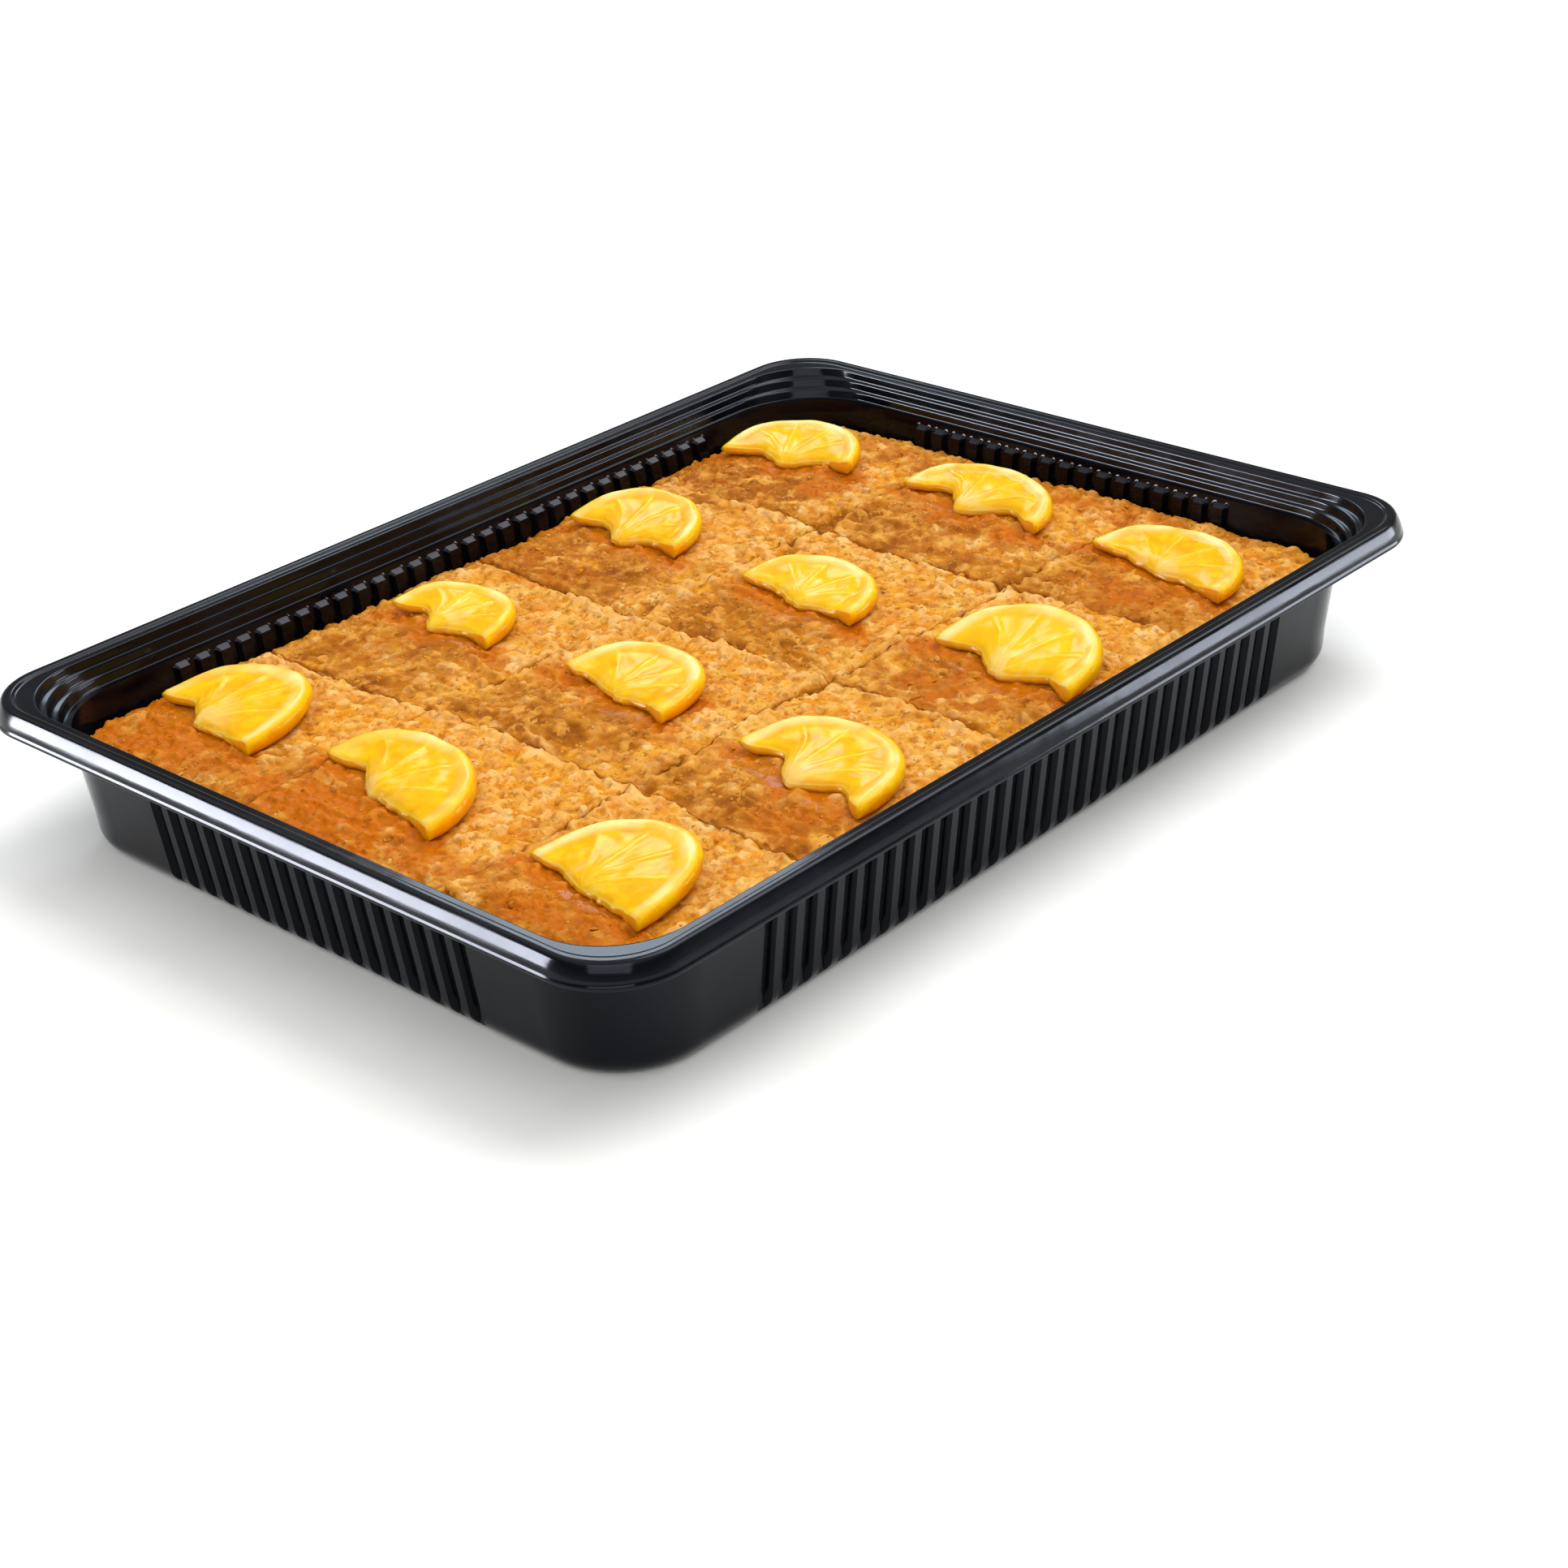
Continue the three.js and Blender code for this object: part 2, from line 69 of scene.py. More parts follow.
def per_mm(size: float) -> float:
    """The texture scale whose features are this many millimetres across."""
    return 1000 / size


def fill(tree: bpy.types.NodeTree, node: bpy.types.Node, inputs: dict) -> None:
    """Fills a node's sockets.

    Args:
        tree: the node tree it is in.
        node: the node.
        inputs: values or other nodes' output sockets, by socket name or number.
    """
    for key, value in inputs.items():
        if isinstance(value, bpy.types.NodeSocket):
            tree.links.new(value, node.inputs[key])
        else:
            node.inputs[key].default_value = value


def put(
    tree: bpy.types.NodeTree, kind: str, inputs: dict | None = None, **settings: object,
) -> bpy.types.Node:
    """Adds a node, sets it, and fills its sockets.

    Args:
        tree: the node tree it goes into.
        kind: the node's type name.
        inputs: values or other nodes' output sockets, by socket name or number.
        **settings: the node's own properties.

    Returns:
        The new node.
    """
    node = tree.nodes.new(kind)
    for name, value in settings.items():
        setattr(node, name, value)
    fill(tree, node, inputs or {})
    return node


def smooth(value: np.ndarray | float, low: float, high: float) -> np.ndarray:
    """A soft step from 0 at low to 1 at high."""
    share = np.clip((np.asarray(value) - low) / (high - low), 0, 1)
    return share * share * (3 - 2 * share)


class Grain:
    """Seeded noise on points in millimetres."""

    def __init__(self, seed: int) -> None:
        """Draws the tables that every pattern of this grain reads.

        Args:
            seed: fixes what is drawn.
        """
        draw = np.random.default_rng(seed)
        self.order = np.tile(draw.permutation(256), 2)
        slopes = draw.normal(size=(256, 3))
        self.slopes = slopes / np.linalg.norm(slopes, axis=1, keepdims=True)
        self.spots = draw.uniform(0.08, 0.92, (256, 2))
        self.shares = draw.uniform(0, 1, 256)

    def key(self, cell: np.ndarray) -> np.ndarray:
        """The table row of each lattice cell."""
        i, j, k = (cell & 255).T
        return self.order[self.order[self.order[i] + j] + k]

    def soft(self, points: np.ndarray, size: float, level: float = 0.0) -> np.ndarray:
        """Gradient noise of about -1 to 1.

        Args:
            points: rows of x, y or x, y, z in millimetres.
            size: size of its features in millimetres.
            level: shifts the pattern, so that one grain gives many.

        Returns:
            One value a point.
        """
        spot = np.zeros((len(points), 3))
        spot[:, :points.shape[1]] = points / size
        spot[:, 2] += level * 7.31 + 0.37
        base = np.floor(spot).astype(int)
        part = spot - base
        ease = part ** 3 * (part * (part * 6 - 15) + 10)
        total = np.zeros(len(points))
        for corner in itertools.product((0, 1), repeat=3):
            step = np.array(corner)
            slope = self.slopes[self.key(base + step)]
            weight = np.prod(np.where(step == 1, ease, 1 - ease), axis=1)
            total += weight * ((part - step) * slope).sum(axis=1)
        return total * 1.7

    def rough(self, points: np.ndarray, size: float, octaves: int, level: float = 0.0) -> np.ndarray:
        """Sum of soft noises, each half the size and a little over half the strength of the last."""
        return sum(0.55 ** n * self.soft(points, size / 2 ** n, level + n) for n in range(octaves))

    def billow(self, points: np.ndarray, size: float, level: float = 0.0) -> np.ndarray:
        """Rounded lumps from 0 to about 1, with narrow creases between them."""
        return np.minimum(np.abs(self.soft(points, size, level)) * 1.8, 1.2)

    def crumbs(self, points: np.ndarray, size: float, level: int = 0) -> tuple[np.ndarray, np.ndarray]:
        """Finds the nearest crumb of a random packing in plan.

        Args:
            points: rows of x and y in millimetres.
            size: mean distance between crumbs in millimetres.
            level: picks another packing.

        Returns:
            Distance to the crumb's middle in sizes, and the crumb's own random share.
        """
        spot = points[:, :2] / size
        base = np.floor(spot).astype(int)
        best = np.full(len(points), 9.0)
        share = np.zeros(len(points))
        for step in itertools.product((-1, 0, 1), repeat=2):
            cell = base + np.array(step)
            row = self.key(np.column_stack([cell, np.full(len(cell), level)]))
            gap = np.linalg.norm(spot - cell - self.spots[row], axis=1)
            closer = gap < best
            best = np.where(closer, gap, best)
            share = np.where(closer, self.shares[row], share)
        return best, share


def make_piece(
    name: str, points: np.ndarray, faces: list, marks: dict[str, np.ndarray] | None = None,
) -> bpy.types.Object:
    """Makes a smooth-shaded mesh object at the origin, with its faces pointing outwards.

    Args:
        name: the piece's name.
        points: rows of x, y, z in millimetres.
        faces: rows of point numbers.
        marks: float attributes by name, one value a point.

    Returns:
        The new object.
    """
    mesh = bpy.data.meshes.new(name)
    mesh.from_pydata((points * MM).tolist(), [], faces)
    for mark, values in (marks or {}).items():
        layer = mesh.attributes.new(mark, "FLOAT", "POINT")
        layer.data.foreach_set("value", np.asarray(values, dtype=np.float32))
    mesh.shade_smooth()
    mesh.update()
    piece = bpy.data.objects.new(name, mesh)
    bpy.context.scene.collection.objects.link(piece)
    return piece


def band(first: list[int], second: list[int], closed: bool = True) -> list[tuple[int, ...]]:
    """Quads between two equal runs of point numbers; the outside is seen with first below second.

    Args:
        first: the lower run.
        second: the upper run.
        closed: whether the runs close on themselves.

    Returns:
        The faces.
    """
    count = len(first) if closed else len(first) - 1
    after = [(k + 1) % len(first) for k in range(count)]
    return [(first[k], first[n], second[n], second[k]) for k, n in zip(range(count), after)]


def sheet_faces(wide: int, deep: int) -> list[list[int]]:
    """Quads of a sheet whose points lie row by row; the outside is seen from above.

    Args:
        wide: points in a row.
        deep: number of rows.

    Returns:
        The faces.
    """
    grid = np.arange(wide * deep).reshape(deep, wide)
    quads = np.stack([grid[:-1, :-1], grid[:-1, 1:], grid[1:, 1:], grid[1:, :-1]], axis=-1)
    return quads.reshape(-1, 4).tolist()


def solidify(piece: bpy.types.Object, tree: bpy.types.NodeTree, values: dict) -> None:
    """Runs a geometry tree on a piece and keeps the result as its plain mesh.

    Args:
        piece: the object that the tree starts from.
        tree: the geometry node tree.
        values: the modifier's inputs by socket name.
    """
    modifier = piece.modifiers.new(tree.name, "NODES")
    modifier.node_group = tree
    for item in tree.interface.items_tree:
        if item.item_type == "SOCKET" and item.in_out == "INPUT" and item.name in values:
            modifier[item.identifier] = values[item.name]
    depsgraph = bpy.context.evaluated_depsgraph_get()
    mesh = bpy.data.meshes.new_from_object(piece.evaluated_get(depsgraph))
    piece.modifiers.clear()
    old = piece.data
    piece.data = mesh
    bpy.data.meshes.remove(old)
    mesh.name = piece.name


def open_tree(name: str, floats: dict[str, float], others: dict[str, str]) -> tuple:
    """Starts a geometry node tree with named inputs.

    Args:
        name: the tree's name.
        floats: size inputs and their usual values.
        others: further inputs and their socket types.

    Returns:
        The tree and its inputs' sockets.
    """
    tree = bpy.data.node_groups.new(name, "GeometryNodeTree")
    tree.interface.new_socket("Geometry", in_out="INPUT", socket_type="NodeSocketGeometry")
    for label, value in floats.items():
        socket = tree.interface.new_socket(label, in_out="INPUT", socket_type="NodeSocketFloat")
        socket.default_value = value
    for label, kind in others.items():
        tree.interface.new_socket(label, in_out="INPUT", socket_type=kind)
    tree.interface.new_socket("Geometry", in_out="OUTPUT", socket_type="NodeSocketGeometry")
    return tree, put(tree, "NodeGroupInput").outputs


def close_tree(
    tree: bpy.types.NodeTree, geometry: bpy.types.NodeSocket, material: bpy.types.NodeSocket,
) -> None:
    """Ends a geometry tree with Realize Instances and Set Material.

    Args:
        tree: the geometry node tree.
        geometry: what it has made.
        material: the material for all of it.
    """
    real = put(tree, "GeometryNodeRealizeInstances", {"Geometry": geometry})
    inputs = {"Geometry": real.outputs[0], "Material": material}
    dressed = put(tree, "GeometryNodeSetMaterial", inputs)
    put(tree, "NodeGroupOutput", {"Geometry": dressed.outputs[0]})


@dataclass(frozen=True)
class Finish:
    """What every surface has: a name and the values that are the same all over it."""

    name: str
    roughness: float
    ior: float

    def material(self) -> bpy.types.Material:
        """Builds the node material.

        Returns:
            The material.
        """
        made = bpy.data.materials.new(self.name)
        made.use_nodes = True
        tree = made.node_tree
        tree.nodes.clear()
        shader = put(tree, "ShaderNodeBsdfPrincipled", {"Roughness": self.roughness, "IOR": self.ior})
        put(tree, "ShaderNodeOutputMaterial", {"Surface": shader.outputs["BSDF"]})
        self.dress(tree, shader)
        return made

    def dress(self, tree: bpy.types.NodeTree, shader: bpy.types.Node) -> None:
        """Adds the finish's own nodes; each kind of finish has its own."""
        raise NotImplementedError

    def readings(
        self, tree: bpy.types.NodeTree, details: dict[float, float], names: tuple[str, ...] = (),
    ) -> tuple[bpy.types.NodeSocket, list, list]:
        """Adds what the finish reads.

        Args:
            tree: the material's tree.
            details: sizes of noise in millimetres, each with how many times it is refined.
            names: the piece's own attributes.

        Returns:
            The object's own coordinates, the noises and the attributes.
        """
        here = put(tree, "ShaderNodeTexCoord").outputs["Object"]
        noises = [
            put(tree, "ShaderNodeTexNoise", {"Vector": here, "Scale": per_mm(size), "Detail": detail})
            for size, detail in details.items()
        ]
        marks = [put(tree, "ShaderNodeAttribute", attribute_name=name) for name in names]
        return here, *([node.outputs["Fac"] for node in nodes] for nodes in (noises, marks))

    def mask(self, tree: bpy.types.NodeTree, *steps: bpy.types.NodeSocket | tuple) -> bpy.types.NodeSocket:
        """Multiplies soft steps.

        Args:
            tree: the material's tree.
            *steps: a socket as it is, or a socket with the value where its step is 0, the value
                where it is full and, if that isn't 1, how much full is.

        Returns:
            The product's socket.
        """
        product = None
        for step in steps:
            if isinstance(step, tuple):
                value, low, high, *most = step
                inputs = {"Value": value, "From Min": low, "From Max": high, "To Max": (*most, 1.0)[0]}
                step = put(tree, "ShaderNodeMapRange", inputs, interpolation_type="SMOOTHSTEP").outputs[0]
            if product is not None:
                step = put(tree, "ShaderNodeMath", {0: product, 1: step}, operation="MULTIPLY").outputs[0]
            product = step
        return product

    def layered(self, tree: bpy.types.NodeTree, base: str, layers: list[tuple]) -> bpy.types.NodeSocket:
        """Paints colours over a base colour.

        Args:
            tree: the material's tree.
            base: hex of the base colour.
            layers: the steps of a layer's mask and then its hex colour, the lowest layer first.

        Returns:
            The mixed colour's socket.
        """
        colour = linear(base)
        for *steps, code in layers:
            inputs = {0: self.mask(tree, *steps), 6: colour, 7: linear(code)}
            colour = put(tree, "ShaderNodeMix", inputs, data_type="RGBA").outputs[2]
        return colour


@dataclass(frozen=True)
class BlackPolypropylene(Finish):
    """Polypropylene sheet, thermoformed over a polished tool.

    The eye gets a deep black body under a wet-looking skin, a slow ripple where the sheet was
    drawn, and dull breath-like patches from handling.
    """

    name: str = "thermoformed_polypropylene"
    roughness: float = 0.11
    ior: float = 1.5
    body: str = "050609"
    haze: str = "0a0b10"
    dulled: float = 0.19
    ripple_size: float = 9.0
    scuff_size: float = 26.0
    peel_size: float = 1.3

    def dress(self, tree: bpy.types.NodeTree, shader: bpy.types.Node) -> None:
        """Ripple in the bump, handling marks in the roughness and body colour.

        Args:
            tree: the material's tree.
            shader: its surface shader.
        """
        details = {self.scuff_size: 5.0, self.ripple_size: 1.0, self.peel_size: 2.0}
        _, (scuff, ripple, peel), _ = self.readings(tree, details)
        patch = self.mask(tree, (scuff, 0.42, 0.68))
        inputs = {"Value": patch, "To Min": self.roughness, "To Max": self.dulled}
        dull = put(tree, "ShaderNodeMapRange", inputs)
        slow = put(tree, "ShaderNodeBump", {"Strength": 0.25, "Distance": 0.25 * MM, "Height": ripple})
        fine = put(tree, "ShaderNodeBump", {
            "Strength": 0.05, "Distance": 0.05 * MM, "Height": peel, "Normal": slow.outputs["Normal"],
        })
        fill(tree, shader, {
            "Base Color": self.layered(tree, self.body, [(patch, self.haze)]),
            "Roughness": dull.outputs[0],
            "Normal": fine.outputs["Normal"],
            "Specular IOR Level": 0.2,
            "Specular Tint": (0.82, 0.86, 1.0, 1.0),
        })


@dataclass(frozen=True)
class SoakedCrumb(Finish):
    """Semolina-and-almond cake, baked golden and soaked with syrup.

    The eye gets coarse grains, with a painted highlight on raised crumbs and painted shade in
    hollows, a golden dry crust, browner patches, and saturated amber where the syrup stands.
    Cut faces show the paler inside.
    """

    name: str = "syrup_soaked_crumb"
    roughness: float = 0.66
    ior: float = 1.42
    gold: str = "d49020"
    pale: str = "d8a64a"
    cream: str = "ecc686"
    brown: str = "a66004"
    deep: str = "783c00"
    rose: str = "c4864a"
    honey: str = "cc7802"
    toast: str = "dc9c3c"
    syrup: str = "bc6200"
    hollow_shade_and_dark_specks: str = "8e4c04"
    inside: str = "dcae50"
    wet_roughness: float = 0.36
    patch_size: float = 21.0
    blotch_size: float = 11.0
    crumb_size: float = 6.0
    grit_size: float = 2.6
    grain_size: float = 1.1

    def dress(self, tree: bpy.types.NodeTree, shader: bpy.types.Node) -> None:
        """Colour from the bake, the syrup and the relief; wet gloss where it is soaked.

        Args:
            tree: the material's tree.
            shader: its surface shader.
        """
        sizes = (self.patch_size, self.blotch_size, self.crumb_size, self.grit_size, self.grain_size)
        names = ("relief", "brown", "syrup", "inside", "tint")
        here, noises, marks = self.readings(tree, dict.fromkeys(sizes, 3.0), names)
        patches, blotches, crumbs, grit, grains = noises
        relief, brown, syrup, inside, tint = marks
        bead = put(tree, "ShaderNodeTexVoronoi", {"Vector": here, "Scale": per_mm(self.grain_size * 1.5)})
        mottle = put(tree, "ShaderNodeMath", {0: crumbs, 1: 0.9, 2: -0.45}, operation="MULTIPLY_ADD")
        baked = put(tree, "ShaderNodeMath", {0: brown, 1: mottle.outputs[0]}, operation="ADD").outputs[0]
        layers = [
            ((patches, 0.42, 0.62, 0.75), self.pale),
            ((blotches, 0.52, 0.66, 0.85), self.honey),
            ((crumbs, 0.54, 0.66, 0.7), self.rose),
            ((crumbs, 0.45, 0.32, 0.6), self.pale),
            ((grit, 0.47, 0.3, 0.5), self.honey),
            ((tint, 0.42, 0.05, 0.65), self.honey),
            ((tint, 0.6, 0.95, 0.6), self.cream),
            ((brown, -0.05, -0.9, 0.55), self.cream),
            # painted highlight: raised places of the relief lighter
            ((relief, 0.35, 1.5, 0.45), self.cream),
            ((grit, 0.58, 0.72, 0.35), self.cream),
            ((grains, 0.58, 0.74, 0.4), self.cream),
            ((baked, 0.08, 0.8, 0.92), self.brown),
            ((baked, 0.72, 1.1, 0.8), self.deep),
            ((crumbs, 0.46, 0.6, 0.7), (tint, 0.25, 0.8), self.toast),
            ((syrup, 0.08, 0.7, 0.96), self.syrup),
            ((grit, 0.5, 0.36, 0.4), self.hollow_shade_and_dark_specks),
            # painted highlight: raised crumbs lighter, also in the brown zones
            ((relief, 0.5, 1.7, 0.35), self.gold),
            # painted shade: low places of the relief (hollows, crags, side pores, sunk cut edges) darker
            ((relief, -0.1, -1.2, 0.65), self.hollow_shade_and_dark_specks),
            (inside, self.inside),
            ((grit, 0.38, 0.26, 0.35), self.hollow_shade_and_dark_specks),
        ]
        inputs = {0: self.mask(tree, (crumbs, 0.42, 0.6, 0.5)), 1: syrup}
        wet = put(tree, "ShaderNodeMath", inputs, operation="ADD", use_clamp=True)
        inputs = {"Value": wet.outputs[0], "To Min": self.roughness, "To Max": self.wet_roughness}
        rough = put(tree, "ShaderNodeMapRange", inputs)
        coarse = put(tree, "ShaderNodeBump", {"Strength": 0.6, "Distance": 0.4 * MM, "Height": grains})
        fine = put(tree, "ShaderNodeBump", {
            "Strength": 0.3, "Distance": 0.3 * MM, "Height": bead.outputs["Distance"],
            "Normal": coarse.outputs["Normal"],
        }, invert=True)
        fill(tree, shader, {
            "Base Color": self.layered(tree, self.gold, layers),
            "Roughness": rough.outputs[0],
            "Normal": fine.outputs["Normal"],
            "Subsurface Weight": 0.25,
            "Subsurface Radius": (1.0, 0.42, 0.12),
            "Subsurface Scale": 2.2 * MM,
            "Specular IOR Level": 0.08,
        })


@dataclass(frozen=True)
class LooseCrumb(Finish):
    """Single crumbs and semolina grains of the same cake, dried a little at the top.

    The eye gets separate grains from pale straw to toasted amber, darker where syrup reached and, in front of
    each slice, with painted shadow of the slice.
    """

    name: str = "toasted_grains"
    roughness: float = 0.6
    ior: float = 1.42
    base: str = "d09030"
    toasted: str = "bc7410"
    straw: str = "e6bc76"
    syrup: str = "ba6402"
    fleck_size: float = 0.9

    def dress(self, tree: bpy.types.NodeTree, shader: bpy.types.Node) -> None:
        """Each grain's own tint over the tone of the cake below it.

        Args:
            tree: the material's tree.
            shader: its surface shader.
        """
        _, (fleck,), (tint, brown, syrup) = self.readings(
            tree, {self.fleck_size: 2.0}, ("tint", "brown", "syrup"),
        )
        layers = [
            ((tint, 0.3, 0.0, 0.4), self.toasted),
            ((tint, 0.6, 1.0, 0.85), self.straw),
            # the crust's brown and syrup marks, partly painted shadow in front of each slice
            ((brown, 0.1, 1.0, 0.75), self.toasted),
            ((syrup, 0.1, 1.0, 0.8), self.syrup),
            ((fleck, 0.5, 0.36, 0.25), self.toasted),
        ]
        bump = put(tree, "ShaderNodeBump", {"Strength": 0.5, "Distance": 0.2 * MM, "Height": fleck})
        fill(tree, shader, {
            "Base Color": self.layered(tree, self.base, layers),
            "Normal": bump.outputs["Normal"],
            "Subsurface Weight": 0.3,
            "Subsurface Radius": (1.0, 0.45, 0.15),
            "Subsurface Scale": 1.2 * MM,
            "Specular IOR Level": 0.1,
        })


@dataclass(frozen=True)
class CandiedCitrus(Finish):
    """Citrus half slice, simmered in sugar syrup until it is clear.

    The eye gets glowing pulp in wedges between thin pale skins, a milky ring of pith, a deep
    yellow rind with oil pores, and a sugar gloss over all of it.
    """

    name: str = "candied_citrus"
    roughness: float = 0.2
    ior: float = 1.45
    pulp: str = "efac02"
    amber: str = "e89200"
    lemon: str = "f6c406"
    skin: str = "f2ca4c"
    pith: str = "f4d890"
    rind: str = "f2b800"
    deep_rind: str = "ee9c00"
    wedges: int = 5
    cloud_size: float = 7.5
    worn_size: float = 13.0
    pore_size: float = 0.95

    def dress(self, tree: bpy.types.NodeTree, shader: bpy.types.Node) -> None:
        """Rings and wedges from the slice's own marks, with the pulp's threads in the bump.

        Args:
            tree: the material's tree.
            shader: its surface shader.
        """
        details = {self.cloud_size: 3.0, self.worn_size: 2.0}
        here, (cloud, worn), marks = self.readings(tree, details, ("share", "sweep", "tone", "edge"))
        share, sweep, tone, edge = marks
        pulp_at = put(tree, "ShaderNodeCombineXYZ", {"X": share, "Y": sweep, "Z": tone}).outputs[0]
        stretch = put(tree, "ShaderNodeVectorMath", {0: pulp_at, 1: (5.0, 17.0, 9.0)}, operation="MULTIPLY")
        inputs = {"Vector": stretch.outputs[0], "Scale": 1.0, "Detail": 3.0}
        threads = put(tree, "ShaderNodeTexNoise", inputs).outputs["Fac"]
        sacs = put(tree, "ShaderNodeTexVoronoi", {"Vector": stretch.outputs[0], "Scale": 0.8})
        turn = put(tree, "ShaderNodeMath", {0: sweep, 1: math.pi * self.wedges}, operation="MULTIPLY")
        wave = put(tree, "ShaderNodeMath", {0: turn.outputs[0]}, operation="SINE")
        walls = put(tree, "ShaderNodeMath", {0: wave.outputs[0]}, operation="ABSOLUTE").outputs[0]
        seen = put(tree, "ShaderNodeMapRange", {
            "Value": worn, "From Min": 0.42, "From Max": 0.62, "To Min": 0.2, "To Max": 0.95,
        }).outputs[0]
        on_top = put(tree, "ShaderNodeMapRange", {"Value": edge, "To Min": 1.0, "To Max": 0.15}).outputs[0]
        layers = [
            ((threads, 0.42, 0.66, 0.6), self.lemon),
            ((cloud, 0.52, 0.68, 0.5), self.amber),
            ((tone, 0.4, 1.0, 0.5), self.lemon),
            ((cloud, 0.44, 0.3, 0.55), self.skin),
            ((walls, 0.2, 0.02, 0.5), (share, 0.84, 0.74), self.skin),
            ((share, 0.5, 0.08, 0.45), (cloud, 0.42, 0.58), self.pith),
            ((edge, 0.3, 1.0, 0.65), self.amber),
            ((share, 0.76, 0.88), (share, 1.0, 0.93), seen, on_top, self.pith),
            ((share, 0.93, 0.97), self.rind),
            ((worn, 0.52, 0.42, 0.8), (share, 0.96, 1.0), self.deep_rind),
            ((share, 1.02, 1.16, 0.6), self.deep_rind),
        ]
        sac_bump = put(tree, "ShaderNodeBump", {
            "Strength": 0.28, "Distance": 0.35 * MM, "Height": sacs.outputs["Distance"],
        })
        pores = put(tree, "ShaderNodeTexVoronoi", {"Vector": here, "Scale": per_mm(self.pore_size)})
        rind_bump = put(tree, "ShaderNodeBump", {
            "Strength": self.mask(tree, (share, 0.9, 1.0, 0.5)), "Distance": 0.2 * MM,
            "Height": pores.outputs["Distance"], "Normal": sac_bump.outputs["Normal"],
        })
        fill(tree, shader, {
            "Base Color": self.layered(tree, self.pulp, layers),
            "Normal": rind_bump.outputs["Normal"],
            "Subsurface Weight": 0.85,
            "Subsurface Radius": (1.0, 0.72, 0.12),
            "Subsurface Scale": 5.5 * MM,
            "Specular IOR Level": 0.12,
        })


@dataclass(frozen=True)
class CitrusSyrup(Finish):
    """Sugar syrup boiled with citrus juice, run off the slices and half soaked in.

    The eye gets a thin amber film with a sharp gloss, fading out where the crumb drank it.
    """

    name: str = "citrus_syrup"
    roughness: float = 0.08
    ior: float = 1.44
    thick: str = "c46c00"
    thin: str = "d88408"
    cover: float = 0.62
    flow_size: float = 3.5

    def dress(self, tree: bpy.types.NodeTree, shader: bpy.types.Node) -> None:
        """Deeper colour and cover towards the middle of each pool.

        Args:
            tree: the material's tree.
            shader: its surface shader.
        """
        _, (flow,), (depth,) = self.readings(tree, {self.flow_size: 2.0}, ("depth",))
        spread = put(tree, "ShaderNodeMath", {0: depth, 1: flow}, operation="MULTIPLY").outputs[0]
        bump = put(tree, "ShaderNodeBump", {"Strength": 0.25, "Distance": 0.3 * MM, "Height": flow})
        fill(tree, shader, {
            "Base Color": self.layered(tree, self.thin, [((depth, 0.1, 0.7), self.thick)]),
            "Alpha": self.mask(tree, (spread, 0.02, 0.4, self.cover)),
            "Normal": bump.outputs["Normal"],
            "Specular IOR Level": 0.1,
        })


@dataclass(frozen=True)
class PaperSweep(Finish):
    """White photographic background paper: matte, with the faintest mottle of its fibres."""

    name: str = "background_paper"
    roughness: float = 0.9
    ior: float = 1.4
    paper: str = "fbfbf9"
    fibre: str = "f6f6f3"
    mottle_size: float = 40.0

    def dress(self, tree: bpy.types.NodeTree, shader: bpy.types.Node) -> None:
        """A fibre mottle that is only just there.

        Args:
            tree: the material's tree.
            shader: its surface shader.
        """
        _, (mottle,), _ = self.readings(tree, {self.mottle_size: 4.0})
        fill(tree, shader, {
            "Base Color": self.layered(tree, self.paper, [((mottle, 0.3, 0.7), self.fibre)]),
            "Specular IOR Level": 0.1,
        })


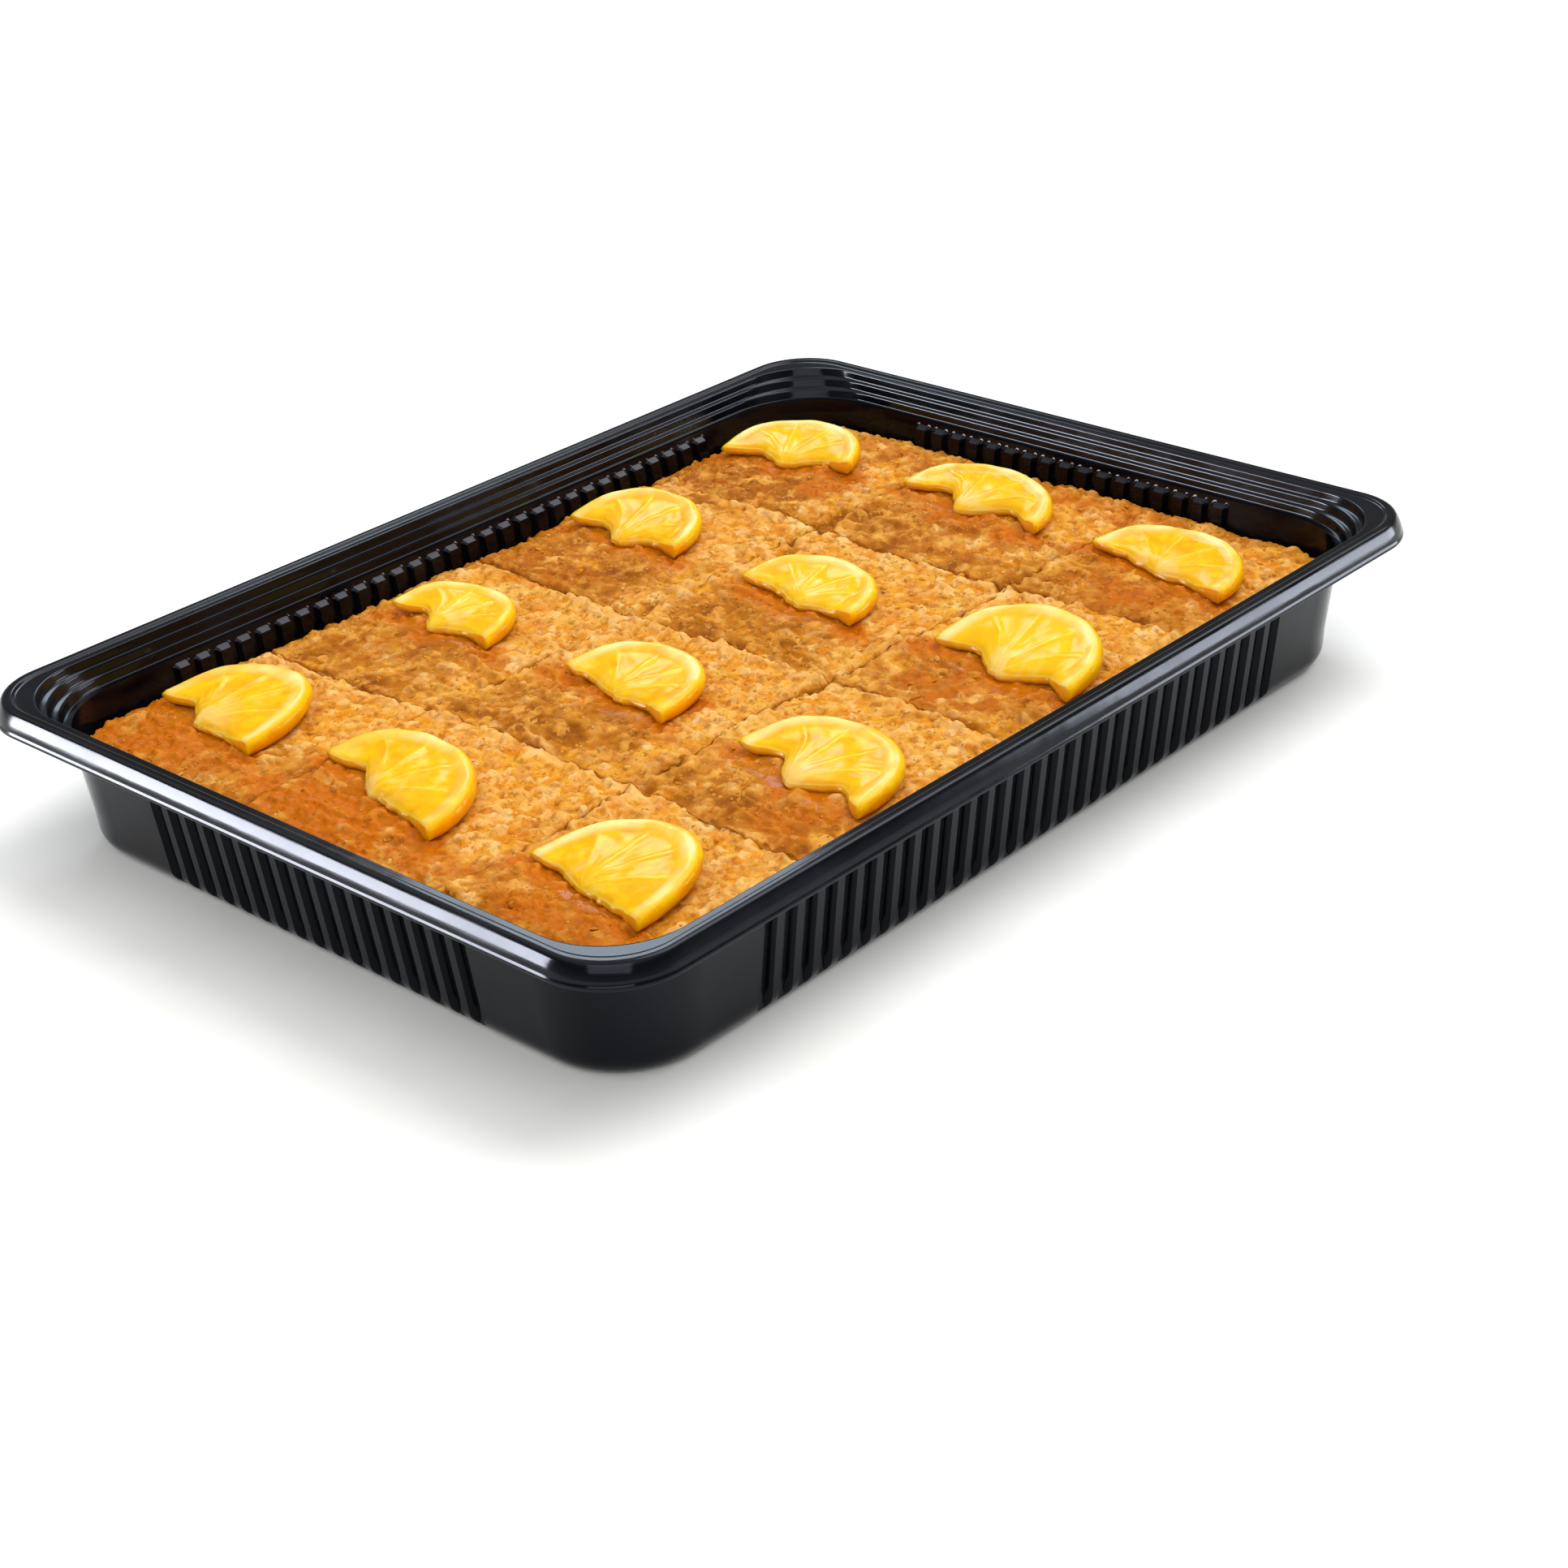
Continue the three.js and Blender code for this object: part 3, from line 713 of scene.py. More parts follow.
@dataclass
class Tray:
    """The thermoformed tray: flared rim, stepped upper wall, ledge and fluted lower wall."""

    length: float = 325.0
    width: float = 239.0
    height: float = 43.0
    sheet: float = 1.0
    rim_radius: float = 21.2
    skirt: float = 6.1
    lip: float = 1.0
    skirt_inset: float = 2.1
    bead_width: float = 4.4
    flange_drop: float = 0.7
    flange_width: float = 7.2
    flange_radius: float = 23.0
    step_height: float = 0.4
    step_width: float = 0.5
    step_gain: float = 2.6
    ledge_z: float = 34.3
    ledge_inset: float = 9.5
    wall_inset: float = 15.3
    wall_draft: float = 0.14
    wall_radius: float = 24.2
    base_fillet: float = 6.5
    pitch: float = 7.02
    long_flutes: int = 30
    short_flutes: int = 17
    flute_depth: float = 1.8
    flute_mouth: float = 4.6
    flute_floor: float = 2.8
    flute_top: float = 32.7
    skirt_bow: float = 0.2
    soft_reach: float = 0.32
    soft_guard: float = 0.2
    least_step: float = 0.01
    corner_steps: int = 18
    sharp_angle: float = 50.0
    straight_shares: tuple[float, ...] = (-0.985, -0.5, 0.0, 0.5, 0.985)
    flute_rows: tuple[float, ...] = (0.0, 0.8, 1.4, 1.85, 2.3, 2.8)
    outer_heights: tuple[float, ...] = (33.3, 32.75, 32.5, 32.3, 32.1, 31.85, 31.5, 29.0, 20.0, 11.0)
    outer_turns: tuple[float, ...] = (0, 12, 22, 30, 36, 41, 45, 48, 50, 52, 54, 57, 62, 75, 90)
    inner_heights: tuple[float, ...] = (34.3, 33.5, 32.8, 32.5, 32.2, 31.85, 31.4, 30.0, 27.0, 18.0, 8.0)
    inner_turns: tuple[float, ...] = (0, 20, 35, 45, 52, 58, 65, 78, 90)
    inner_widening: float = 0.45
    press_run: float = 0.8
    off_side: float = 9999.0
    marks: tuple[str, ...] = ("along", "inward_x", "inward_y", "flutes", "inner", "drawn")
    finish: BlackPolypropylene = field(default_factory=BlackPolypropylene)

    def inset_at(self, z: float | np.ndarray) -> float | np.ndarray:
        """How far the lower wall's outer face stands in from the rim's outline at a height."""
        return self.wall_inset - self.wall_draft * z

    def softened(self, line: list, reach: float) -> list:
        """Rounds the corners of a profile.

        Args:
            line: rows of inset, height and plan radius.
            reach: how far along each run the rounding starts.

        Returns:
            The rounded rows.
        """
        rows = [np.array(row, dtype=float) for row in line]
        made = [rows[0]]
        for before, here, after in zip(rows, rows[1:], rows[2:]):
            into, out = before - here, after - here
            long_in, long_out = (max(np.linalg.norm(way[:2]), 1e-6) for way in (into, out))
            start, end = here + into * min(0.5, reach / long_in), here + out * min(0.5, reach / long_out)
            made.append(here + into * min(0.5, (reach + self.soft_guard) / long_in))
            for share in (0.0, 0.33, 0.67, 1.0):
                made.append((1 - share) ** 2 * start + 2 * share * (1 - share) * here + share ** 2 * end)
            made.append(here + out * min(0.5, (reach + self.soft_guard) / long_out))
        made.append(rows[-1])
        steps = zip(made, made[1:])
        return [made[0], *(row for before, row in steps if np.linalg.norm(row - before) > self.least_step)]

    def upper_wall(self, offset: float) -> list:
        """Rows of the stepped upper wall from the flange to the ledge, moved out by the sheet.

        Args:
            offset: how far they are moved.

        Returns:
            Rows of inset, height and plan radius.
        """
        top = self.height - self.flange_drop
        rise = (top - self.ledge_z - 2 * self.step_height) / 3
        run = (self.ledge_inset - self.flange_width - 2 * self.step_width) / 3
        row = np.array([self.flange_width, top, self.flange_radius])
        rows = [row]
        for step in range(3):
            row = row + (run, -rise, run)
            rows.append(row)
            if step < 2:
                row = row + (self.step_width, -self.step_height, self.step_gain)
                rows.append(row)
        return [r + (-offset, -offset, offset) for r in rows]

    def rim(self) -> list:
        """Rows from under the ledge, out round the rim and down the inside to the ledge.

        Returns:
            Rows of inset, height and plan radius.
        """
        under = self.ledge_z - self.sheet
        lip_top = self.height - self.skirt + self.lip
        bead = self.height - self.sheet
        inner = self.skirt_inset + self.sheet
        low, high = (0.3, lip_top + 0.3), (self.skirt_inset - 0.3, self.height - 0.9)
        bowed = [
            (
                low[0] + (high[0] - low[0]) * share - 4 * self.skirt_bow * share * (1 - share),
                low[1] + (high[1] - low[1]) * share,
            )
            for share in (0.25, 0.5, 0.75)
        ]
        inset_rows = [
            (self.bead_width + 0.2, self.height - self.flange_drop - self.sheet),
            (self.bead_width - 0.4, bead),
            (inner + 0.3, bead),
            (inner, bead - 0.4),
            (self.sheet + 0.4, lip_top),
            (self.sheet, lip_top - 0.4),
            (self.sheet, self.height - self.skirt),
            (0.0, self.height - self.skirt),
            (0.0, lip_top - 0.1),
            low,
            *bowed,
            high,
            (self.skirt_inset + 0.2, self.height - 0.25),
            (self.skirt_inset + 0.9, self.height),
            (self.bead_width, self.height),
            (self.bead_width + 0.6, self.height - self.flange_drop),
        ]
        edge = [(inset, z, self.rim_radius - min(inset, 3.6)) for inset, z in inset_rows]
        low_radius = self.wall_radius + self.wall_draft * under
        start = [(self.inset_at(under), under, low_radius)]
        inside = self.upper_wall(0.0)
        outside = self.upper_wall(self.sheet)[::-1]
        foot = self.wall_radius + self.wall_draft * self.ledge_z - self.sheet
        end = [(self.inset_at(self.ledge_z) + self.sheet, self.ledge_z, foot)]
        return self.softened([*start, *outside, *edge, *inside, *end], self.soft_reach)

    def lower_wall(self, offset: float, heights: list[float], turns: list[float]) -> list:
        """Rows of the fluted wall from its top down round the base edge.

        Args:
            offset: 0 for the outer face, the sheet's thickness for the inner.
            heights: where the straight wall has a row.
            turns: degrees round the base edge where there is a row.

        Returns:
            Rows of inset, height, plan radius and how far the base edge is drawn in there.
        """
        rows = [
            (self.inset_at(z) + offset, z, self.wall_radius + self.wall_draft * z - offset, 0.0)
            for z in heights
        ]
        radius = self.base_fillet - offset
        foot = self.inset_at(self.base_fillet) + offset
        for degrees in turns:
            angle = math.radians(degrees)
            reach = radius * (1 - math.cos(angle))
            z = self.base_fillet - radius * math.sin(angle)
            drawn = max(0.0, reach - self.wall_draft * (self.base_fillet - z))
            rows.append((foot + reach, z, self.wall_radius - offset - reach, drawn))
        return rows

    def stations(self, side: int) -> list[float]:
        """Where a fluted row has its points along one side.

        Args:
            side: from 0, counter-clockwise from the far side.

        Returns:
            The places in travel order.
        """
        count = self.short_flutes if side % 2 else self.long_flutes
        within = sorted({-row for row in self.flute_rows} | {*self.flute_rows, self.pitch / 2})
        middles = [(n - (count - 1) / 2) * self.pitch for n in range(count)]
        return [-count * self.pitch / 2] + [middle + place for middle in middles for place in within]

    def ring(self, inset: float, z: float, radius: float, fluted: bool) -> tuple[list, list]:
        """Points of one rounded rectangle, counter-clockwise from above.

        Args:
            inset: how far it stands in from the rim's outline.
            z: its height.
            radius: its corner radius in plan.
            fluted: whether its sides have a point at each flute's edges.

        Returns:
            The points, and for each one the place along its side (or a far-off one at a corner),
            the inward direction and the number of flutes on that side.
        """
        half = (self.length / 2 - inset - radius, self.width / 2 - inset - radius)
        points, marks = [], []
        for side in range(4):
            middle = (half[0] * (1 if side in (0, 3) else -1), half[1] * (1 if side < 2 else -1))
            for step in range(self.corner_steps + 1):
                angle = (side + step / self.corner_steps) * math.pi / 2
                points.append((middle[0] + radius * math.cos(angle), middle[1] + radius * math.sin(angle), z))
                marks.append((self.off_side, 0.0, 0.0, 0.0))
            turn = (side + 1) * math.pi / 2
            out = (math.cos(turn), math.sin(turn))
            reach = (self.length if side % 2 else self.width) / 2 - inset
            straight = half[1] if side % 2 else half[0]
            places = self.stations(side)
            if not fluted:
                places = [straight * share for share in self.straight_shares]
            count = self.short_flutes if side % 2 else self.long_flutes
            for along in places:
                points.append((out[0] * reach - out[1] * along, out[1] * reach + out[0] * along, z))
                marks.append((along, -out[0], -out[1], float(count)))
        return points, marks

    def flute_sizes(self) -> dict[str, float]:
        """The sizes that the flute tree takes.

        Returns:
            Millimetres by the name of the input.
        """
        return {
            "Pitch": self.pitch, "Depth": self.flute_depth, "Mouth": self.flute_mouth,
            "Floor": self.flute_floor, "Top": self.flute_top,
        }

    def flute_tree(self) -> bpy.types.NodeTree:
        """The geometry tree that presses the flutes into the marked wall; they run out at its foot.

        Returns:
            The tree.
        """
        sizes = self.flute_sizes()
        tree, given = open_tree("press_flutes", sizes, {"Material": "NodeSocketMaterial"})
        values = {label: given[label] for label in sizes}
        for name in self.marks:
            mark = put(tree, "GeometryNodeInputNamedAttribute", {"Name": name}, data_type="FLOAT")
            values[name] = mark.outputs[0]
        spot = put(tree, "GeometryNodeInputPosition").outputs[0]
        values["z"] = put(tree, "ShaderNodeSeparateXYZ", {0: spot}).outputs["Z"]
        for name, operation, *terms in (
            ("even", "ADD", "flutes", 1.0),
            ("even", "MODULO", "even", 2.0),
            ("shift", "MULTIPLY", "even", 0.5),
            ("turns", "DIVIDE", "along", "Pitch"),
            ("turns", "ADD", "turns", "shift"),
            ("whole", "ROUND", "turns"),
            ("away", "SUBTRACT", "turns", "whole"),
            ("away", "ABSOLUTE", "away"),
            ("away", "MULTIPLY", "away", "Pitch"),
            ("wider", "MULTIPLY", "inner", self.inner_widening),
            ("mouth", "MULTIPLY", "Mouth", 0.5),
            ("mouth", "ADD", "mouth", "wider"),
            ("floor", "MULTIPLY", "Floor", 0.5),
            ("floor", "ADD", "floor", "wider"),
            ("z", "MULTIPLY", "z", 1000.0),
            ("full", "SUBTRACT", "Top", self.press_run),
        ):
            inputs = {place: values.get(term, term) for place, term in enumerate(terms)}
            values[name] = put(tree, "ShaderNodeMath", inputs, operation=operation).outputs[0]
        values["across"] = put(tree, "ShaderNodeMapRange", {
            "Value": values["away"], "From Min": values["mouth"], "From Max": values["floor"],
        }, interpolation_type="SMOOTHSTEP").outputs[0]
        values["down"] = put(tree, "ShaderNodeMapRange", {
            "Value": values["z"], "From Min": values["Top"], "From Max": values["full"],
        }).outputs[0]
        for name, operation, *terms in (
            ("reach", "MULTIPLY", "Pitch", "flutes"),
            ("reach", "MULTIPLY", "reach", 0.5),
            ("aside", "ABSOLUTE", "along"),
            ("there", "LESS_THAN", "aside", "reach"),
            ("press", "MULTIPLY", "down", "there"),
            ("press", "MULTIPLY", "across", "press"),
            ("depth", "MULTIPLY", "press", "Depth"),
            ("depth", "SUBTRACT", "depth", "drawn"),
            ("depth", "MAXIMUM", "depth", 0.0),
            ("depth", "MULTIPLY", "depth", MM),
            ("x", "MULTIPLY", "inward_x", "depth"),
            ("y", "MULTIPLY", "inward_y", "depth"),
        ):
            inputs = {place: values.get(term, term) for place, term in enumerate(terms)}
            values[name] = put(tree, "ShaderNodeMath", inputs, operation=operation).outputs[0]
        offset = put(tree, "ShaderNodeCombineXYZ", {"X": values["x"], "Y": values["y"]})
        inputs = {"Geometry": given["Geometry"], "Offset": offset.outputs[0]}
        pressed = put(tree, "GeometryNodeSetPosition", inputs)
        close_tree(tree, pressed.outputs[0], given["Material"])
        return tree

    def build(self) -> bpy.types.Object:
        """Builds the tray and stands it for its CAD node.

        Returns:
            The tray.
        """
        outer = self.lower_wall(0.0, self.outer_heights, self.outer_turns)[::-1]
        inner = self.lower_wall(self.sheet, self.inner_heights, self.inner_turns)
        rows = [(row, True, 0.0) for row in outer]
        rows += [((*row, 0.0), False, 0.0) for row in self.rim()[1:-1]]
        rows += [(row, True, 1.0) for row in inner]
        points, marks, rings = [], [], []
        for (inset, z, radius, drawn), fluted, inside in rows:
            ring, ring_marks = self.ring(inset, z, radius, fluted)
            rings.append((list(range(len(points), len(points) + len(ring))), fluted))
            points += ring
            marks += [(*mark, inside, drawn) for mark in ring_marks]
        faces = [tuple(reversed(rings[0][0])), tuple(rings[-1][0])]
        for (first, fine_first), (second, fine_second) in zip(rings, rings[1:]):
            if fine_first == fine_second:
                faces += band(first, second)
            else:
                faces += self.change_over(first, second, fine_first)
        columns = dict(zip(self.marks, np.array(marks).T))
        piece = make_piece("thermoformed_tray", np.array(points), faces, columns)
        solidify(piece, self.flute_tree(), {**self.flute_sizes(), "Material": self.finish.material()})
        piece.data.shade_smooth()
        piece.data.set_sharp_from_angle(angle=math.radians(self.sharp_angle))
        for name in self.marks:
            piece.data.attributes.remove(piece.data.attributes[name])
        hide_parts("tray")
        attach(piece, "root")
        return piece

    def change_over(self, first: list[int], second: list[int], fine_first: bool) -> list:
        """Faces between a fluted ring and a plain one, side by side.

        Args:
            first: point numbers of the ring below.
            second: point numbers of the ring above.
            fine_first: whether the fluted ring is the one below.

        Returns:
            The faces.
        """
        fine, plain = (first, second) if fine_first else (second, first)
        faces, at_fine, at_plain = [], 0, 0
        for side in range(4):
            fine_side, plain_side = len(self.stations(side)), len(self.straight_shares)
            runs = [(k, k) for k in range(self.corner_steps + 1)]
            picks = [round(fine_side * (0.5 + share / 2)) for share in self.straight_shares]
            last = self.corner_steps
            runs += [(last + 1 + pick, last + 1 + n) for n, pick in enumerate(picks)]
            runs.append((last + 1 + fine_side, last + 1 + plain_side))
            for (fine_a, plain_a), (fine_b, plain_b) in zip(runs, runs[1:]):
                long_run = [fine[(at_fine + k) % len(fine)] for k in range(fine_a, fine_b + 1)]
                short_run = [plain[(at_plain + k) % len(plain)] for k in (plain_a, plain_b)]
                if fine_first:
                    faces.append((*long_run, short_run[1], short_run[0]))
                else:
                    faces.append((short_run[0], short_run[1], *reversed(long_run)))
            at_fine += self.corner_steps + 1 + fine_side
            at_plain += self.corner_steps + 1 + plain_side
        return faces


@dataclass(frozen=True)
class SliceRow:
    """One candied half slice: its square, place, size and how it lies."""

    at: tuple[int, int]
    x: float
    y: float
    chord: float
    depth: float
    turn: float
    thick: float
    lift: float
    tips: tuple[float, float]
    bites: tuple[float, float, float]
    tone: float

    def local(self, x: np.ndarray, y: np.ndarray) -> tuple[np.ndarray, np.ndarray]:
        """Turns places on the cake into places on the slice.

        Args:
            x: places along X.
            y: places along Y.

        Returns:
            How far they are from the cut edge's line, and where along it.
        """
        angle = math.radians(self.turn)
        dx, dy = x - self.x, y - self.y
        return dx * math.cos(angle) + dy * math.sin(angle), dy * math.cos(angle) - dx * math.sin(angle)

    def world(self, deep: np.ndarray, along: np.ndarray) -> tuple[np.ndarray, np.ndarray]:
        """Turns places on the slice into places on the cake.

        Args:
            deep: distance from the cut edge's line.
            along: place along that line.

        Returns:
            Their x and y.
        """
        angle = math.radians(self.turn)
        x = self.x + deep * math.cos(angle) - along * math.sin(angle)
        return x, self.y + deep * math.sin(angle) + along * math.cos(angle)

    def bite(self, along: np.ndarray) -> np.ndarray:
        """How far the cut edge stands towards the arc.

        Args:
            along: places along the edge.

        Returns:
            Millimetres, below 0 where it stands out.
        """
        place = along / (self.chord / 2)
        far, middle, near = self.bites
        rows = ((far, 0.5, 0.24), (near, -0.5, 0.24), (-middle, 0.0, 0.2))
        return sum(depth * np.exp(-((place - centre) / width) ** 2) for depth, centre, width in rows)

    def outside(self, x: np.ndarray, y: np.ndarray) -> np.ndarray:
        """How far places are outside the slice's outline.

        Args:
            x: places along X.
            y: places along Y.

        Returns:
            Millimetres, below 0 inside.
        """
        deep, along = self.local(x, y)
        ratio = np.hypot(along / (self.chord / 2), deep / self.depth)
        return np.maximum((ratio - 1) * (self.chord / 2 + self.depth) / 2, self.bite(along) - deep)


SLICES = (
    SliceRow((1, 1), -121, -67, 47, 30, -12, 5.4, 2.8, (0.5, 0), (1.5, 0.5, 0.5), 0.15),
    SliceRow((2, 1), -50, -70, 52, 27, -13, 5.6, 0.8, (1, 0.4), (4.5, 3.5, 5), 0.3),
    SliceRow((3, 1), 29, -71, 53, 27, -9, 6, 3.4, (0.5, 0.6), (4, 2, 4), 0.85),
    SliceRow((4, 1), 105, -66, 54, 22, -12, 5.4, 1.1, (1, 0.3), (1, 1, 1), 0.35),
    SliceRow((1, 2), -118, 9, 58, 24, -15, 6.2, 1, (0.7, 0), (4, 1.5, 1), 0.6),
    SliceRow((2, 2), -42, 2, 46, 25, -11, 5.4, 0.9, (1.5, 0), (1, 0.5, 2), 0.5),
    SliceRow((3, 2), 30, 2, 46, 22.5, -6, 5.6, 0.9, (1.3, 0.4), (2, 1.5, 1.5), 0.7),
    SliceRow((4, 2), 111, 6, 56, 20.5, -6, 5.4, 1.4, (0.8, 0.3), (5, 4, 5), 0.55),
    SliceRow((1, 3), -119, 76, 46, 30, -9, 6, 1.6, (1.6, 0), (3.5, 2, 0.5), 0.4),
    SliceRow((2, 3), -41, 71, 42, 21.5, -3, 5.6, 0.5, (2.3, 0), (4, 3, 1.5), 0.65),
    SliceRow((3, 3), 35, 75, 45, 24.5, -1, 5.6, 1.6, (2, 0), (3.5, 3, 2.5), 0.45),
    SliceRow((4, 3), 109, 77, 46, 23.5, 14, 5.4, 1, (1.2, 0.6), (3, 2.5, 2.5), 0.5),
)


@dataclass(frozen=True)
class TonePatch:
    """A differently toned place on the crust: middle, reach along X and Y, syrup and bake."""

    x: float
    y: float
    reach_x: float
    reach_y: float
    syrup: float
    brown: float = 0.0


PATCHES = (
    TonePatch(-131, 80, 14, 26, 0.8, 1.1),
    TonePatch(-131, 8, 12, 50, 0.85, 0.3),
    TonePatch(-131, -70, 12, 30, 0.5, 0.5),
    TonePatch(136, 0, 9, 90, 0.5, 0.8),
    TonePatch(104, 55, 12, 9, 1.0, 0.3),
    TonePatch(90, 80, 19, 30, 0.3, 1.4),
    TonePatch(14, 80, 18, 26, 0.35, 1.0),
    TonePatch(36, 72, 6, 22, 0.8, 0.4),
    TonePatch(-32, -20, 5, 4, 0.95),
    TonePatch(104, -14, 6, 8, 0.9, 0.3),
    TonePatch(106, 8, 7, 14, 0.8, 0.3),
    TonePatch(14, -66, 16, 26, 0.5, 1.1),
    TonePatch(26, -80, 6, 14, 0.8, 0.6),
    TonePatch(90, -4, 13, 26, 0.35, 0.6),
    TonePatch(91, -68, 14, 26, 0.5, 1.0),
    TonePatch(-66, -80, 14, 14, 0.45, 0.5),
    TonePatch(-60, 75, 12, 22, 0.3, 0.4),
)


@dataclass(frozen=True)
class Crag:
    """A torn place in the crust: middle, turn, half length, half width and depth."""

    x: float
    y: float
    turn: float
    long: float
    wide: float
    depth: float


CRAGS = (
    Crag(-5, -37, 8, 6, 1.6, 2.2),
    Crag(74, -36, -10, 8, 1.8, 2.2),
    Crag(62, 33, 40, 6, 1.6, 1.8),
    Crag(84, 35, 15, 9, 1.8, 2.4),
    Crag(-73, -40, 60, 5, 1.4, 1.8),
    Crag(18, 16, 20, 8, 1.4, 1.2),
    Crag(5, 36, 30, 6, 1.4, 1.6),
)


@dataclass
class Cake:
    """The baked slab in the tray: its cuts, its uneven top and its twelve squares."""

    tray: Tray
    grain: Grain
    columns: int = 4
    rows: int = 3
    clearance: float = 0.5
    top: float = 28.3
    edge_droop: float = 2.3
    pitch_x: float = 75.6
    pitch_y: float = 71.6
    shift_y: float = -0.8
    square_x: float = 75.0
    square_y: float = 71.0
    corner_room: float = 0.6
    foot: float = 1.5
    no_cut: float = 60.0
    lips: tuple[float, ...] = (0.25, 1.0, 0.45, 0.75)
    side_shares: tuple[float, ...] = (0.97, 0.93, 0.88, 0.8, 0.7, 0.58, 0.45, 0.3, 0.15)
    mesh_step: float = 0.56
    least_gap: float = 0.13
    settle_rounds: int = 4
    lump_size: float = 9.5
    heap_size: float = 5.2
    fold_size: float = 7.0
    clod_size: float = 2.9
    grit_size: float = 1.5
    lip_reach: float = 2.3
    finish: SoakedCrumb = field(default_factory=SoakedCrumb)

    def half(self, size: float, z: float | np.ndarray) -> float | np.ndarray:
        """Half the slab's size along X or Y at a height, inside the flutes."""
        tray = self.tray
        return size / 2 - tray.inset_at(z) - tray.sheet - tray.flute_depth - self.clearance

    def cut_x(self, index: int, y: np.ndarray, z: np.ndarray) -> np.ndarray:
        """X of the cut between two columns, or of the slab's end.

        Args:
            index: the cut's number, 0 at the left end.
            y: places along Y.
            z: their height.

        Returns:
            One x a place.
        """
        if index in (0, self.columns):
            return self.half(self.tray.length, z) * (1 if index else -1) + 0 * y
        sway = 1.5 * np.sin(y / 24 + index * 1.9) + 0.6 * np.sin(y / 9 + index)
        return (index - self.columns / 2) * self.pitch_x + sway

    def cut_y(self, index: int, x: np.ndarray, z: np.ndarray) -> np.ndarray:
        """Y of the cut between two rows, or of the slab's side.

        Args:
            index: the cut's number, 0 at the near side.
            x: places along X.
            z: their height.

        Returns:
            One y a place.
        """
        if index in (0, self.rows):
            return self.half(self.tray.width, z) * (1 if index else -1) + 0 * x
        sway = 1.4 * np.sin(x / 27 + index * 2.3) + 0.6 * np.sin(x / 10 + index * 4)
        return (index - self.rows / 2) * self.pitch_y + self.shift_y + sway

    def into_corner(self, x: np.ndarray, y: np.ndarray, z: np.ndarray) -> tuple[np.ndarray, np.ndarray]:
        """Pulls points into the tray's rounded corners.

        Args:
            x: places along X.
            y: places along Y.
            z: their height.

        Returns:
            The x and y that they get.
        """
        tray = self.tray
        radius = tray.wall_radius + tray.wall_draft * z - tray.sheet - self.clearance - self.corner_room
        centre_x = self.half(tray.length, z) - radius
        centre_y = self.half(tray.width, z) - radius
        over_x, over_y = np.abs(x) - centre_x, np.abs(y) - centre_y
        corner = (over_x > 0) & (over_y > 0)
        reach = np.where(corner, np.hypot(over_x, over_y), 1.0)
        scale = np.maximum(over_x, over_y) / np.maximum(reach, 1e-9)
        return (
            np.where(corner, np.sign(x) * (centre_x + over_x * scale), x),
            np.where(corner, np.sign(y) * (centre_y + over_y * scale), y),
        )

    def ragged(self, x: np.ndarray, y: np.ndarray, side: int) -> np.ndarray:
        """Half the width of a cut, torn wider in places; each side of it has its own.

        Args:
            x: places along X.
            y: places along Y.
            side: 0 to 3, which of a square's sides it is.

        Returns:
            Millimetres, one value a place.
        """
        spots = np.column_stack([x, y])
        tear = self.grain.rough(spots, 6.0, 3, 20.0 + side)
        return self.least_gap + self.openness(x, y) * (0.16 + 0.4 * np.clip(tear, -0.3, 1.3))

    def openness(self, x: np.ndarray, y: np.ndarray) -> np.ndarray:
        """How far the cuts gape at a place, 0 where the crust has closed over them again.

        Args:
            x: places along X.
            y: places along Y.

        Returns:
            One share a place.
        """
        gape = smooth(self.grain.rough(np.column_stack([x, y]), 19.0, 2, 30.0), -0.25, 0.45)
        healed = 0.7 * np.exp(-(((y - 36) / 7) ** 2)) * smooth(60 - np.abs(x - 5), 0, 25)
        return (0.12 + 0.88 * gape) * (1 - healed)

    def place(self, column: int, row: int, u: np.ndarray, v: np.ndarray, z: np.ndarray) -> tuple:
        """Where a square's grid places u, v (0 to 1) lie at a height.

        Args:
            column: the square's, from 0.
            row: the square's, from 0.
            u: share of the way from its left to its right side.
            v: share of the way from its near to its far side.
            z: the height.

        Returns:
            Their x and y.
        """
        x = (column + u - self.columns / 2) * self.square_x
        y = (row + v - self.rows / 2) * self.square_y
        for _ in range(self.settle_rounds):
            left = self.cut_x(column, y, z) + (self.ragged(x, y, 0) if column else 0)
            right = self.cut_x(column + 1, y, z) - (self.ragged(x, y, 1) if column < self.columns - 1 else 0)
            near = self.cut_y(row, x, z) + (self.ragged(x, y, 2) if row else 0)
            far = self.cut_y(row + 1, x, z) - (self.ragged(x, y, 3) if row < self.rows - 1 else 0)
            x, y = left + (right - left) * u, near + (far - near) * v
        return self.into_corner(x, y, z)

    def smooth_top(self, x: np.ndarray, y: np.ndarray) -> np.ndarray:
        """Height of the top without its grain: gently uneven, and sunk along the walls.

        Args:
            x: places along X.
            y: places along Y.

        Returns:
            Millimetres, one value a place.
        """
        broad = 0.5 * np.sin(x / 17 + 0.6) * np.cos(y / 21 - 0.4)
        close = 0.35 * np.sin(x / 9.5 + y / 13 + 1)
        to_end = self.half(self.tray.length, self.top) - np.abs(x)
        to_side = self.half(self.tray.width, self.top) - np.abs(y)
        to_wall = np.maximum(np.minimum(to_end, to_side), 0)
        return self.top + broad + close - self.edge_droop * np.exp(-to_wall / 5)

    def covered(self, x: np.ndarray, y: np.ndarray) -> np.ndarray:
        """How well the nearest half slice covers a place, 1 under it and 0 beside it."""
        nearest = np.min([row.outside(x, y) for row in SLICES], axis=0)
        return 1 - smooth(nearest, -2.5, 0.5)

